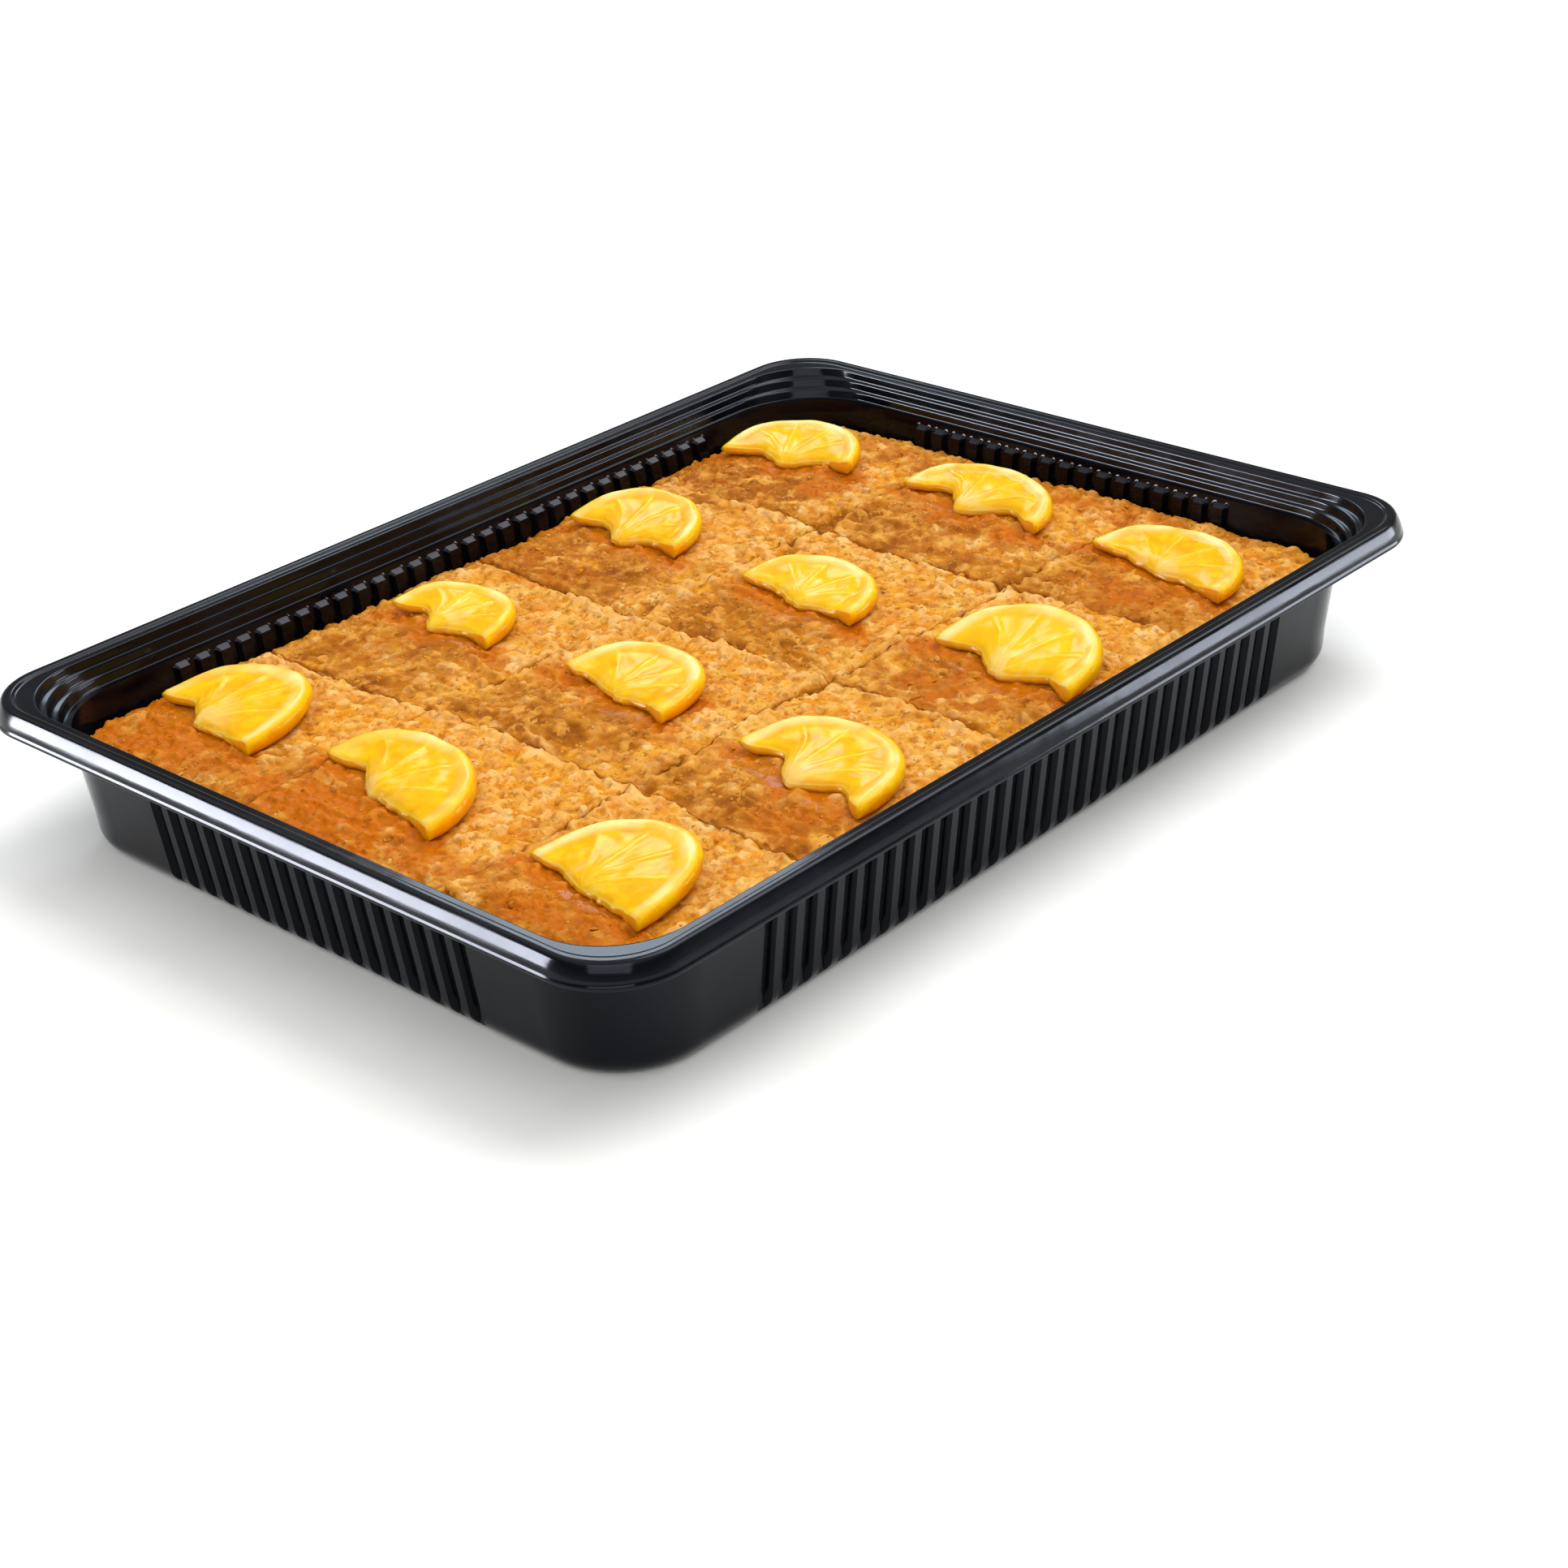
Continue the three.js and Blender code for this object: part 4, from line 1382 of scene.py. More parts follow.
    def tones(self, column: int, x: np.ndarray, y: np.ndarray) -> tuple[np.ndarray, np.ndarray]:
        """How brown and how soaked the top is.

        Args:
            column: the square's column, from 0.
            x: places along X.
            y: places along Y.

        Returns:
            The brown and the syrup, each 0 to 1; in front of each slice both are partly painted shadow of the
            slice.
        """
        spots = np.column_stack([x, y])
        wander = self.grain.rough(spots, 16.0, 3, 3.0)
        patchy = self.grain.rough(spots, 7.0, 2, 4.0)
        brown = np.zeros(len(x))
        syrup = np.zeros(len(x))
        for row in SLICES:
            deep, along = row.local(x, y)
            near = np.exp(-np.clip(np.abs(along) - row.chord * 0.4, 0, None) ** 2 / 120)
            if row.at[0] == column + 1:
                # in front of the slice's cut edge the brown is partly bake and syrup stain and partly painted
                # shadow cast by the slice
                before = (1 - smooth(deep + 12 * wander + 7 * patchy, -8, 14)) * (0.2 + 0.8 * near)
                brown = np.maximum(brown, 0.75 * before)
            gap = np.maximum(row.outside(x, y), 0)
            # syrup reaches further in front of the slice: partly stain, partly painted shadow of the slice
            front = smooth(-deep, -6, 2)
            reach = np.exp(-(gap / (2.5 + 4 * front)) ** 1.3)
            syrup = np.maximum(syrup, (0.15 + 0.85 * front) * reach * (0.9 + 0.6 * wander))
        for patch in PATCHES:
            ring = ((x - patch.x) / patch.reach_x) ** 2 + ((y - patch.y) / patch.reach_y) ** 2
            there = np.exp(-ring ** 1.5) * (0.85 + 0.6 * patchy)
            syrup = np.maximum(syrup, patch.syrup * there)
            brown = np.maximum(brown, patch.brown * there)
        to_end = self.half(self.tray.length, self.top) - np.abs(x)
        to_side = self.half(self.tray.width, self.top) - np.abs(y)
        rim = np.exp(-np.clip(np.minimum(to_end, to_side), 0, None) / 4)
        islands = 0.5 * np.clip(self.grain.rough(spots, 12.0, 3, 5.0) - 0.15, 0, 0.6)
        brown = np.clip(brown * (0.9 + 0.7 * patchy) + 0.7 * rim + 0.12 * wander + islands, 0, 1)
        return brown, np.clip(syrup + 0.25 * rim, 0, 1)

    def clods(self, x: np.ndarray, y: np.ndarray) -> tuple[np.ndarray, np.ndarray]:
        """The crumbs baked into the crust: their height and each one's own lot, 0 to 1.

        Args:
            x: places along X.
            y: places along Y.

        Returns:
            The heights and the lots, one of each a place.
        """
        spots = np.column_stack([x, y])
        shift = [self.grain.soft(spots, 3.5, level) for level in (21.0, 22.0)]
        gap, lot = self.grain.crumbs(spots + 0.9 * np.column_stack(shift), self.clod_size, 5)
        return (0.15 + 0.95 * lot ** 2) * np.maximum(0.6 - 1.3 * gap * gap, -0.12) - 0.1, lot

    def relief(self, x: np.ndarray, y: np.ndarray, to_cut: np.ndarray, lip: np.ndarray) -> np.ndarray:
        """The crust's own relief in millimetres.

        Args:
            x: places along X.
            y: places along Y.
            to_cut: distance to the nearest cut.
            lip: how much that cut's edge is turned up, 0 to 1.

        Returns:
            Height over the smooth top.
        """
        spots = np.column_stack([x, y])
        lumps = 0.6 * self.grain.rough(spots, self.lump_size, 2, 1.0)
        heaps = 0.95 * self.grain.billow(spots, self.heap_size, 2.0)
        heaps = heaps + 0.35 * self.grain.billow(spots, self.heap_size / 2, 3.0) - 0.6
        swept = np.column_stack([x + 3 * self.grain.soft(spots, 17.0, 7.0), y * 0.3])
        folds = 0.95 * np.exp(-((self.grain.soft(swept, self.fold_size, 9.0) / 0.16) ** 2))
        folds *= smooth(self.grain.soft(spots, 15.0, 10.0), -0.1, 0.35)
        gap, share = self.grain.crumbs(spots, self.grit_size, 2)
        fine = (0.3 + 0.7 * share) * np.maximum(0.5 - gap * gap, -0.1)
        clods, lot = self.clods(x, y)
        turned = 0.75 * lip * np.exp(-((to_cut - self.lip_reach) / 1.7) ** 2)
        turned *= (0.7 + 0.8 * self.grain.soft(spots, 7.0, 6.0)) * (0.35 + 0.9 * lot)
        sink = -(0.3 + 0.9 * lip) * self.openness(x, y) * np.exp(-to_cut / 0.5)
        torn = np.zeros(len(x))
        for crag in CRAGS:
            angle = math.radians(crag.turn)
            dx, dy = x - crag.x, y - crag.y
            along = (dx * math.cos(angle) + dy * math.sin(angle)) / crag.long
            bend = 0.9 * self.grain.soft(spots, 4.0, 8.0)
            across = (dy * math.cos(angle) - dx * math.sin(angle) + bend) / crag.wide
            ends = np.exp(-along ** 4)
            banks = 0.35 * np.exp(-((np.abs(across) - 2.2) / 0.9) ** 2)
            torn += ends * crag.depth * (banks - np.exp(-across ** 2))
        calm = 1 - 0.8 * self.covered(x, y)
        return calm * (lumps + 0.85 * heaps + folds + 0.5 * fine + 1.5 * clods + turned) + sink + torn

    def steps(self, count: int) -> np.ndarray:
        """Grid places from 0 to 1, closer together at both ends."""
        inner = np.linspace(0.016, 0.984, count)
        return np.concatenate([[0, 0.004, 0.009], inner, [0.991, 0.996, 1]])

    def gaps(self, at: tuple[int, int], x: np.ndarray, y: np.ndarray, level: float) -> np.ndarray:
        """How far places in a square are from the cuts round it.

        Args:
            at: the square's column and row, from 0.
            x: places along X.
            y: places along Y.
            level: their height.

        Returns:
            Rows for the left, right, near and far cut.
        """
        column, row = at
        none = np.full(len(x), self.no_cut)
        return np.array([
            x - self.cut_x(column, y, level) if column else none,
            self.cut_x(column + 1, y, level) - x if column < self.columns - 1 else none,
            y - self.cut_y(row, x, level) if row else none,
            self.cut_y(row + 1, x, level) - y if row < self.rows - 1 else none,
        ])

    def square(self, column: int, row: int, material: bpy.types.Material) -> bpy.types.Object:
        """Builds one square and stands it for its CAD node.

        Args:
            column: from 0, along X.
            row: from 0, along Y.
            material: the crumb.

        Returns:
            The square.
        """
        u_steps, v_steps = (self.steps(int(size / self.mesh_step)) for size in (self.square_x, self.square_y))
        u, v = (grid.ravel() for grid in np.meshgrid(u_steps, v_steps))
        level = self.top - self.edge_droop
        x, y = self.place(column, row, u, v, np.full(len(u), level))
        cuts = self.gaps((column, row), x, y, level)
        to_cut = np.maximum(cuts.min(axis=0) - 0.3, 0)
        relief = self.relief(x, y, to_cut, np.choose(cuts.argmin(axis=0), self.lips))
        brown, syrup = self.tones(column, x, y)
        right, far = cuts[1] - self.lip_reach, cuts[3] - self.lip_reach
        ridge = np.exp(-(right / 2.0) ** 2) + 0.4 * np.exp(-(far / 1.8) ** 2)
        ridge *= np.clip(0.55 + 0.9 * self.grain.rough(np.column_stack([x, y]), 8.0, 2, 31.0), 0, 1.2)
        # darker right at the gaping cuts, a painted shade in the cut; lighter along the ridges by the right
        # and far cuts
        brown = np.clip(brown - 0.8 * ridge + 0.4 * self.openness(x, y) * np.exp(-to_cut / 0.6), -1, 1)
        top = np.column_stack([x, y, self.smooth_top(x, y) + relief])
        faces = sheet_faces(len(u_steps), len(v_steps))
        grid = np.arange(len(u)).reshape(len(v_steps), len(u_steps))
        border = np.concatenate([grid[0, :-1], grid[:-1, -1], grid[-1, :0:-1], grid[:0:-1, 0]])
        points, ring = [top], border.tolist()
        # the relief goes to the finish, which paints a highlight on its tops and shade in its hollows
        marks = {
            "relief": [relief], "brown": [brown], "syrup": [syrup], "inside": [np.zeros(len(x))],
            "tint": [self.clods(x, y)[1]],
        }
        middle = top[border, :2].mean(axis=0)
        for height, rounding, crust in self.side_rows():
            z = np.full(len(border), self.tray.base_fillet * (1 + height) - self.foot * height)
            if height > 0:
                z = top[border, 2] * height + self.tray.base_fillet * (1 - height)
            sx, sy = self.place(column, row, u[border], v[border], z)
            sx *= 1 - rounding / self.half(self.tray.length, z)
            sy *= 1 - rounding / self.half(self.tray.width, z)
            side = np.column_stack([sx, sy, z])
            pores = np.clip(self.grain.rough(side, 2.6, 3, 9.0), 0, 1) * (1.0 if height > 0 else 0.0)
            inward = middle - side[:, :2]
            side[:, :2] += inward / np.linalg.norm(inward, axis=1, keepdims=True) * pores[:, None] * 0.8
            count = sum(len(block) for block in points)
            below = list(range(count, count + len(border)))
            faces += [face[::-1] for face in band(ring, below)]
            points.append(side)
            ring = below
            # pores on the sides get low relief, which the finish paints as shade
            added = {
                "relief": 0.2 - pores, "brown": 0.5 * crust, "syrup": 0.4 * crust,
                "inside": 1 - crust, "tint": marks["tint"][0][border],
            }
            for mark, value in added.items():
                marks[mark].append(np.broadcast_to(value, len(border)))
        faces.append(tuple(reversed(ring)))
        marks = {mark: np.concatenate(rows) for mark, rows in marks.items()}
        piece = make_piece(f"cake_square_{column + 1}_{row + 1}", np.concatenate(points), faces, marks)
        piece.data.materials.append(material)
        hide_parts(f"square_{column + 1}_{row + 1}")
        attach(piece, "root")
        return piece

    def side_rows(self) -> list[tuple[float, float, float]]:
        """Rows down a square's sides.

        Returns:
            For each its share of the height (0 or less round the base edge), how far it is drawn
            in there, and how much of it is crust.
        """
        rows = [(share, 0.0, max(0.0, 1 - (1 - share) * 9)) for share in self.side_shares]
        radius = self.tray.base_fillet - self.tray.sheet
        rows.append((0.0, 0.0, 0.2))
        for step in (1, 2, 3):
            angle = math.pi / 6 * step
            rows.append((-math.sin(angle), radius * (1 - math.cos(angle)), 0.8))
        return rows

    def build(self) -> list[bpy.types.Object]:
        """Builds all the squares."""
        material = self.finish.material()
        return [self.square(c, r, material) for r in range(self.rows) for c in range(self.columns)]


@dataclass
class CandiedSlices:
    """The twelve candied half slices, each a closed mesh with pulp, pith ring and rind."""

    cake: Cake
    grain: Grain
    rest: float = 0.45
    thin_edge: float = 2.3
    arc_steps: int = 72
    pulp_rows: int = 22
    pith_share: float = 0.93
    wedges: int = 5
    underside: float = -0.35
    rind_rows: tuple[tuple[float, float], ...] = (
        (0.965, 0.93), (0.99, 0.83), (1.0, 0.68), (1.003, 0.5), (0.995, 0.33), (0.975, 0.17), (0.945, 0.05),
    )
    finish: CandiedCitrus = field(default_factory=CandiedCitrus)

    def spot(
        self, row: SliceRow, angle: np.ndarray, share: np.ndarray, height: np.ndarray, push: np.ndarray,
    ) -> np.ndarray:
        """Places points of a slice.

        Args:
            row: the slice.
            angle: round the arc, 0 at the far tip and pi at the near one.
            share: of the way from the core to the rind.
            height: over the slice's underside.
            push: extra reach out of the cut edge.

        Returns:
            Rows of x, y, z.
        """
        along = row.chord / 2 * np.cos(angle) * share
        out = row.depth * np.sin(angle) * share
        pull = np.maximum(0, 1 - out / (0.65 * row.depth))
        edge = np.column_stack([along + 31 * row.at[0], np.full(len(along), 17.0 * row.at[1])])
        torn = 0.8 * self.grain.soft(edge, 4.5, 11.0) + 0.45 * self.grain.soft(edge, 1.6, 12.0)
        torn *= 1 - np.clip(np.abs(along) / (row.chord / 2), 0, 1) ** 3
        deep = out + (row.bite(along) + torn) * pull - push
        x, y = row.world(deep, along)
        end = along / (row.chord / 2)
        tip = np.where(end > 0, row.tips[0], row.tips[1])
        lift = row.lift * np.maximum(0, deep / row.depth) + tip * end * end
        return np.column_stack([x, y, self.cake.smooth_top(x, y) + self.rest + lift + height])

    def taper(self, angle: np.ndarray, share: np.ndarray) -> np.ndarray:
        """Share of the thickness left round the arc: thin at the far tip, less so at the near one."""
        tips = 0.5 * np.exp(-((angle / 0.42) ** 2)) + 0.15 * np.exp(-(((math.pi - angle) / 0.3) ** 2))
        return 1 - tips * smooth(share, 0.3, 0.95)

    def top_height(self, row: SliceRow, angle: np.ndarray, share: np.ndarray) -> np.ndarray:
        """Height of the upper face: sunken pulp in wedges, raised pith, worn cut edge.

        Args:
            row: the slice.
            angle: places round the arc.
            share: of the way from the core to the rind.

        Returns:
            Millimetres over the slice's underside.
        """
        turn = angle / math.pi * self.wedges
        to_wall = np.abs(turn - np.round(turn)) * math.pi / self.wedges * share * row.chord / 2
        pulp = smooth(share, 0.12, 0.3) * (1 - smooth(share, 0.76, 0.88))
        where = np.column_stack([share * row.chord * 0.35, angle * share * row.chord * 0.5 + row.x])
        gap, lot = self.grain.crumbs(where * (0.6, 1.0), 1.7, 4)
        sacs = (0.3 + 0.7 * lot) * (0.5 - gap * gap)
        sag = 0.35 * self.grain.soft(where, 8.0, 13.0 + row.at[0]) * smooth(share, 0.0, 0.3)
        face = pulp * (0.3 * np.exp(-(to_wall / 0.9) ** 2) + 0.3 * sacs - 0.7)
        full = (row.thick - 0.35 + sag + face + 0.3 * smooth(share, 0.82, 0.9)) * self.taper(angle, share)
        out = row.depth * np.sin(angle) * share
        near = smooth(-np.cos(angle) * share, 0.5, 0.85)
        worn = np.exp(-out / 4.2) * (1 - 0.8 * near)
        return full - np.maximum(full - self.thin_edge, 0) * worn - 0.45 * np.exp(-((out / 0.7) ** 2))

    def build_one(self, row: SliceRow, material: bpy.types.Material) -> bpy.types.Object:
        """Builds one half slice and stands it for its CAD node.

        Args:
            row: the slice.
            material: the candied citrus.

        Returns:
            The slice.
        """
        shares = np.linspace(0, self.pith_share, self.pulp_rows)
        angles = np.linspace(0, math.pi, self.arc_steps + 1)
        rind = self.top_height(row, angles, np.full(len(angles), 0.95)) - 0.1
        blocks, marks = [], []

        def add(
            angle: np.ndarray, share: np.ndarray | float, height: np.ndarray | float, push: float,
            mark_share: float, mark_edge: float,
        ) -> list[int]:
            """Adds a run of points.

            Args:
                angle: round the arc.
                share: of the way from the core to the rind.
                height: over the slice's underside.
                push: extra reach out of the cut edge.
                mark_share: the share that the finish reads there.
                mark_edge: 1 on a cut face, else 0.

            Returns:
                The points' numbers.
            """
            start = sum(len(block) for block in blocks)
            parts = np.broadcast_arrays(angle, share, height, push)
            blocks.append(self.spot(row, *parts))
            columns = (mark_share, parts[0] / math.pi, row.tone, mark_edge)
            marks.append(np.column_stack([np.broadcast_to(column, len(parts[0])) for column in columns]))
            return list(range(start, start + len(parts[0])))

        shell = []
        for share in shares[1:]:
            height = self.top_height(row, angles, np.full(len(angles), share))
            shell.append(add(angles, share, height, 0.0, share, 0.0))
        for n, (share, level) in enumerate(self.rind_rows):
            wobble = 0.006 * self.grain.soft(np.column_stack([angles * 9, angles * 0 + n]), 1.0, row.at[0])
            shell.append(add(angles, share + wobble, rind * level, 0.0, 0.97 + 0.035 * n, 0.0))
        shell += [add(angles, share, self.underside, 0.0, share, 1.0) for share in shares[:0:-1]]
        half_pi = np.array([math.pi / 2])
        crown_height = self.top_height(row, half_pi, np.zeros(1))
        crown = add(half_pi, 0.0, crown_height, 0.0, 0.0, 0.0)[0]
        base = add(half_pi, 0.0, self.underside, 0.0, 0.0, 1.0)[0]
        faces = []
        for upper, lower in zip(shell, shell[1:]):
            faces += band(upper, lower, closed=False)
        faces += [(crown, shell[0][k + 1], shell[0][k]) for k in range(self.arc_steps)]
        faces += [(base, shell[-1][k], shell[-1][k + 1]) for k in range(self.arc_steps)]
        levels = [level for _, level in self.rind_rows]
        core_web = [
            add(half_pi, 0.0, crown_height * level, self.bulge(level), 0.0, 1.0)[0]
            for level in levels
        ]
        for end in (0, self.arc_steps):
            columns = [[crown, *core_web, base]]
            for n, share in enumerate(shares[1:]):
                top = self.top_height(row, angles[[end]], np.array([share]))
                column = [shell[n][end]]
                for level in levels:
                    seed = np.array([[share * 14 + end, level * 4 + row.x]])
                    torn = 0.45 * self.grain.soft(seed, 1.2, 15.0)[0] * math.sin(math.pi * level)
                    push = (self.bulge(level) + torn) * (1 - share ** 4)
                    column += add(angles[[end]], share, top * level, push, share, 1.0)
                column.append(shell[len(shell) - 1 - n][end])
                columns.append(column)
            rim_rows = range(len(shares) - 2, len(shares) + len(levels))
            columns.append([shell[k][end] for k in rim_rows])
            for first, second in zip(columns, columns[1:]):
                for (a, b), (c, d) in zip(zip(first, first[1:]), zip(second, second[1:])):
                    face = tuple(dict.fromkeys((a, b, d, c) if end else (a, c, d, b)))
                    if len(face) > 2:
                        faces.append(face)
        table = dict(zip(("share", "sweep", "tone", "edge"), np.concatenate(marks).T))
        name = f"candied_half_slice_{row.at[0]}_{row.at[1]}"
        piece = make_piece(name, np.concatenate(blocks), faces, table)
        piece.data.materials.append(material)
        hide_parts(f"citrus_{row.at[0]}_{row.at[1]}")
        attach(piece, "root")
        return piece

    def bulge(self, level: float) -> float:
        """How far the cut face stands out at a share of its height."""
        return 0.6 * math.sin(math.pi * min(1.0, level * 1.15) * 0.87)

    def build(self) -> list[bpy.types.Object]:
        """Builds all the half slices."""
        material = self.finish.material()
        return [self.build_one(row, material) for row in SLICES]


@dataclass
class SyrupFilm:
    """Thin pools of syrup that ran off the slices and stand between the crumbs."""

    cake: Cake
    grain: Grain
    level: float = 0.42
    sunk: float = 0.9
    rings: int = 12
    spokes: int = 72
    finish: CitrusSyrup = field(default_factory=CitrusSyrup)

    def lens(self, row: SliceRow, angles: np.ndarray) -> tuple[np.ndarray, np.ndarray]:
        """Points of one pool: rings of its upper face, rings of its lower face, then their hubs.

        Args:
            row: the slice that it runs out from under.
            angles: directions of its spokes.

        Returns:
            Rows of x, y, z, and how deep the pool is at each.
        """
        lap = np.column_stack([np.cos(angles) * 9 + row.x, np.sin(angles) * 9 + row.y])
        spread = 3.2 + 2.4 * np.clip(self.grain.rough(lap, 7.0, 2, 16.0), -1, 1.3)
        front = np.clip(-np.cos(angles), 0, 1)
        deep_reach = np.where(np.cos(angles) > 0, row.depth + 0.35 * spread, 3.0 + spread * 1.3)
        along_reach = row.chord / 2 * 0.94 + 0.4 * spread
        shares = [ring / self.rings for ring in range(1, self.rings + 1)]
        rises = [(share, self.level * (1 - share ** 3) - 0.25 * share ** 6) for share in shares]
        rises += [(share, -self.sunk) for share in shares[:-1]]
        points, depths = [], []
        for share, rise in rises:
            x, y = row.world(np.cos(angles) * deep_reach * share, np.sin(angles) * along_reach * share)
            points.append(np.column_stack([x, y, self.cake.smooth_top(x, y) + rise]))
            depths.append((1 - share ** 2) * (0.55 + 0.45 * front))
        floor = self.cake.smooth_top(np.array([row.x]), np.array([row.y]))[0]
        points.append(np.array([[row.x, row.y, floor + rise] for rise in (self.level, -self.sunk)]))
        depths.append(np.ones(2))
        return np.concatenate(points), np.concatenate(depths)

    def lens_faces(self, start: int) -> list[tuple[int, ...]]:
        """Faces of one pool.

        Args:
            start: number of its first point.

        Returns:
            The faces.
        """
        count = self.spokes
        rings = [list(range(start + n * count, start + (n + 1) * count)) for n in range(2 * self.rings - 1)]
        tops, lows = rings[:self.rings], [*rings[self.rings:], rings[self.rings - 1]]
        crown = start + len(rings) * count
        faces = [(crown, tops[0][k], tops[0][(k + 1) % count]) for k in range(count)]
        faces += [(crown + 1, lows[0][(k + 1) % count], lows[0][k]) for k in range(count)]
        for inner, outer in zip(tops, tops[1:]):
            faces += [face[::-1] for face in band(inner, outer)]
        for inner, outer in zip(lows, lows[1:]):
            faces += band(inner, outer)
        return faces

    def build(self) -> bpy.types.Object:
        """Builds one flat pool under each slice, all in one piece.

        Returns:
            The film.
        """
        angles = np.linspace(0, 2 * math.pi, self.spokes, endpoint=False)
        points, faces, depths = [], [], []
        for row in SLICES:
            faces += self.lens_faces(sum(len(block) for block in points))
            pool, depth = self.lens(row, angles)
            points.append(pool)
            depths.append(depth)
        piece = make_piece("syrup_film", np.concatenate(points), faces, {"depth": np.concatenate(depths)})
        piece.data.materials.append(self.finish.material())
        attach(piece, "root")
        return piece


class CrumbKind(Enum):
    """The kinds of loose crumb: name, number a square centimetre, size in mm, faces and seed."""

    GRAIN = ("semolina_grains", 14.0, 1.1, 1, 11)
    CRUMB = ("coarse_crumbs", 1.6, 1.9, 2, 12)


@dataclass
class CrumbScatter:
    """Crumbs that stand loose on the crust, strewn by a geometry tree."""

    cake: Cake
    sheet_step: float = 0.8
    margin: float = 1.0
    sink: float = 0.25
    finish: LooseCrumb = field(default_factory=LooseCrumb)

    def tree(self) -> bpy.types.NodeTree:
        """The geometry tree: points on the bare crust, with a lumpy crumb sunk in at each.

        Returns:
            The tree.
        """
        sizes = {"Density": 1.0, "Size": 1.0, "Sink": 0.2}
        kinds = {"Faces": "NodeSocketInt", "Seed": "NodeSocketInt", "Material": "NodeSocketMaterial"}
        tree, given = open_tree("strew_crumbs", sizes, kinds)
        values = {label: given[label] for label in sizes}
        bare = put(tree, "GeometryNodeInputNamedAttribute", {"Name": "bare"}, data_type="FLOAT")
        values["bare"] = bare.outputs[0]
        for name, operation, *terms in (
            ("density", "MULTIPLY", "Density", "bare"),
            ("radius", "MULTIPLY", "Size", 0.5 * MM),
            ("fineness", "DIVIDE", 700.0, "Size"),
            ("lumps", "MULTIPLY", "Size", 1.1 * MM),
            ("drop", "MULTIPLY", "Sink", -MM),
        ):
            inputs = {place: values.get(term, term) for place, term in enumerate(terms)}
            values[name] = put(tree, "ShaderNodeMath", inputs, operation=operation).outputs[0]
        strewn = put(tree, "GeometryNodeDistributePointsOnFaces", {
            "Mesh": given["Geometry"], "Density": values["density"], "Seed": given["Seed"],
        })
        inputs = {"Radius": values["radius"], "Subdivisions": given["Faces"]}
        ball = put(tree, "GeometryNodeMeshIcoSphere", inputs)
        scale = put(tree, "FunctionNodeRandomValue", {
            0: (0.55, 0.55, 0.45), 1: (1.5, 1.3, 1.0), "Seed": given["Seed"],
        }, data_type="FLOAT_VECTOR")
        turn = put(tree, "FunctionNodeRandomValue", {
            0: (-0.6, -0.6, 0.0), 1: (0.6, 0.6, 6.28), "Seed": given["Seed"],
        }, data_type="FLOAT_VECTOR")
        placed = put(tree, "GeometryNodeInstanceOnPoints", {
            "Points": strewn.outputs["Points"], "Instance": ball.outputs[0],
            "Rotation": turn.outputs[0], "Scale": scale.outputs[0],
        })
        inputs = {2: 0.0, 3: 1.0, "Seed": given["Seed"]}
        tint = put(tree, "FunctionNodeRandomValue", inputs, data_type="FLOAT")
        tinted = put(tree, "GeometryNodeStoreNamedAttribute", {
            "Geometry": placed.outputs[0], "Name": "tint", "Value": tint.outputs[1],
        }, data_type="FLOAT", domain="INSTANCE")
        real = put(tree, "GeometryNodeRealizeInstances", {"Geometry": tinted.outputs[0]})
        spot = put(tree, "GeometryNodeInputPosition").outputs[0]
        inputs = {"Vector": spot, "Scale": values["fineness"], "Detail": 1.0}
        noise = put(tree, "ShaderNodeTexNoise", inputs)
        inputs = {0: noise.outputs["Color"], 1: (0.5, 0.5, 0.5)}
        centred = put(tree, "ShaderNodeVectorMath", inputs, operation="SUBTRACT")
        inputs = {0: centred.outputs[0], "Scale": values["lumps"]}
        lumpy = put(tree, "ShaderNodeVectorMath", inputs, operation="SCALE")
        down = put(tree, "ShaderNodeCombineXYZ", {"Z": values["drop"]})
        inputs = {0: lumpy.outputs[0], 1: down.outputs[0]}
        offset = put(tree, "ShaderNodeVectorMath", inputs, operation="ADD")
        inputs = {"Geometry": real.outputs[0], "Offset": offset.outputs[0]}
        moved = put(tree, "GeometryNodeSetPosition", inputs)
        close_tree(tree, moved.outputs[0], given["Material"])
        return tree

    def crust(self, name: str) -> bpy.types.Object:
        """The bare crust as one open sheet, for the crumbs to be strewn on.

        Args:
            name: the piece's name.

        Returns:
            The sheet, marked with the crust's tones and where it is bare.
        """
        cake = self.cake
        level = cake.top - cake.edge_droop
        sides = (cake.tray.length, cake.tray.width)
        half_x, half_y = (cake.half(side, level) - self.margin for side in sides)
        xs, ys = (np.arange(-half, half, self.sheet_step) for half in (half_x, half_y))
        x, y = (grid.ravel() for grid in np.meshgrid(xs, ys))
        x, y = cake.into_corner(x, y, np.full(len(x), level))
        column = np.floor((x + cake.columns / 2 * cake.pitch_x) / cake.pitch_x)
        column = np.clip(column, 0, cake.columns - 1)
        brown, syrup = np.zeros(len(x)), np.zeros(len(x))
        for index in range(cake.columns):
            there = column == index
            brown[there], syrup[there] = cake.tones(index, x[there], y[there])
        cuts = [np.abs(x - cake.cut_x(index, y, level)) for index in range(1, cake.columns)]
        cuts += [np.abs(y - cake.cut_y(index, x, level)) for index in range(1, cake.rows)]
        clear = smooth(np.min(cuts, axis=0), 0.9, 1.8)
        relief = cake.relief(x, y, np.full(len(x), 20.0), np.zeros(len(x)))
        bare = clear * (1 - cake.covered(x, y)) * (1 - 0.55 * syrup)
        top = np.column_stack([x, y, cake.smooth_top(x, y) + relief])
        marks = {"brown": brown, "syrup": syrup, "bare": bare}
        return make_piece(name, top, sheet_faces(len(xs), len(ys)), marks)

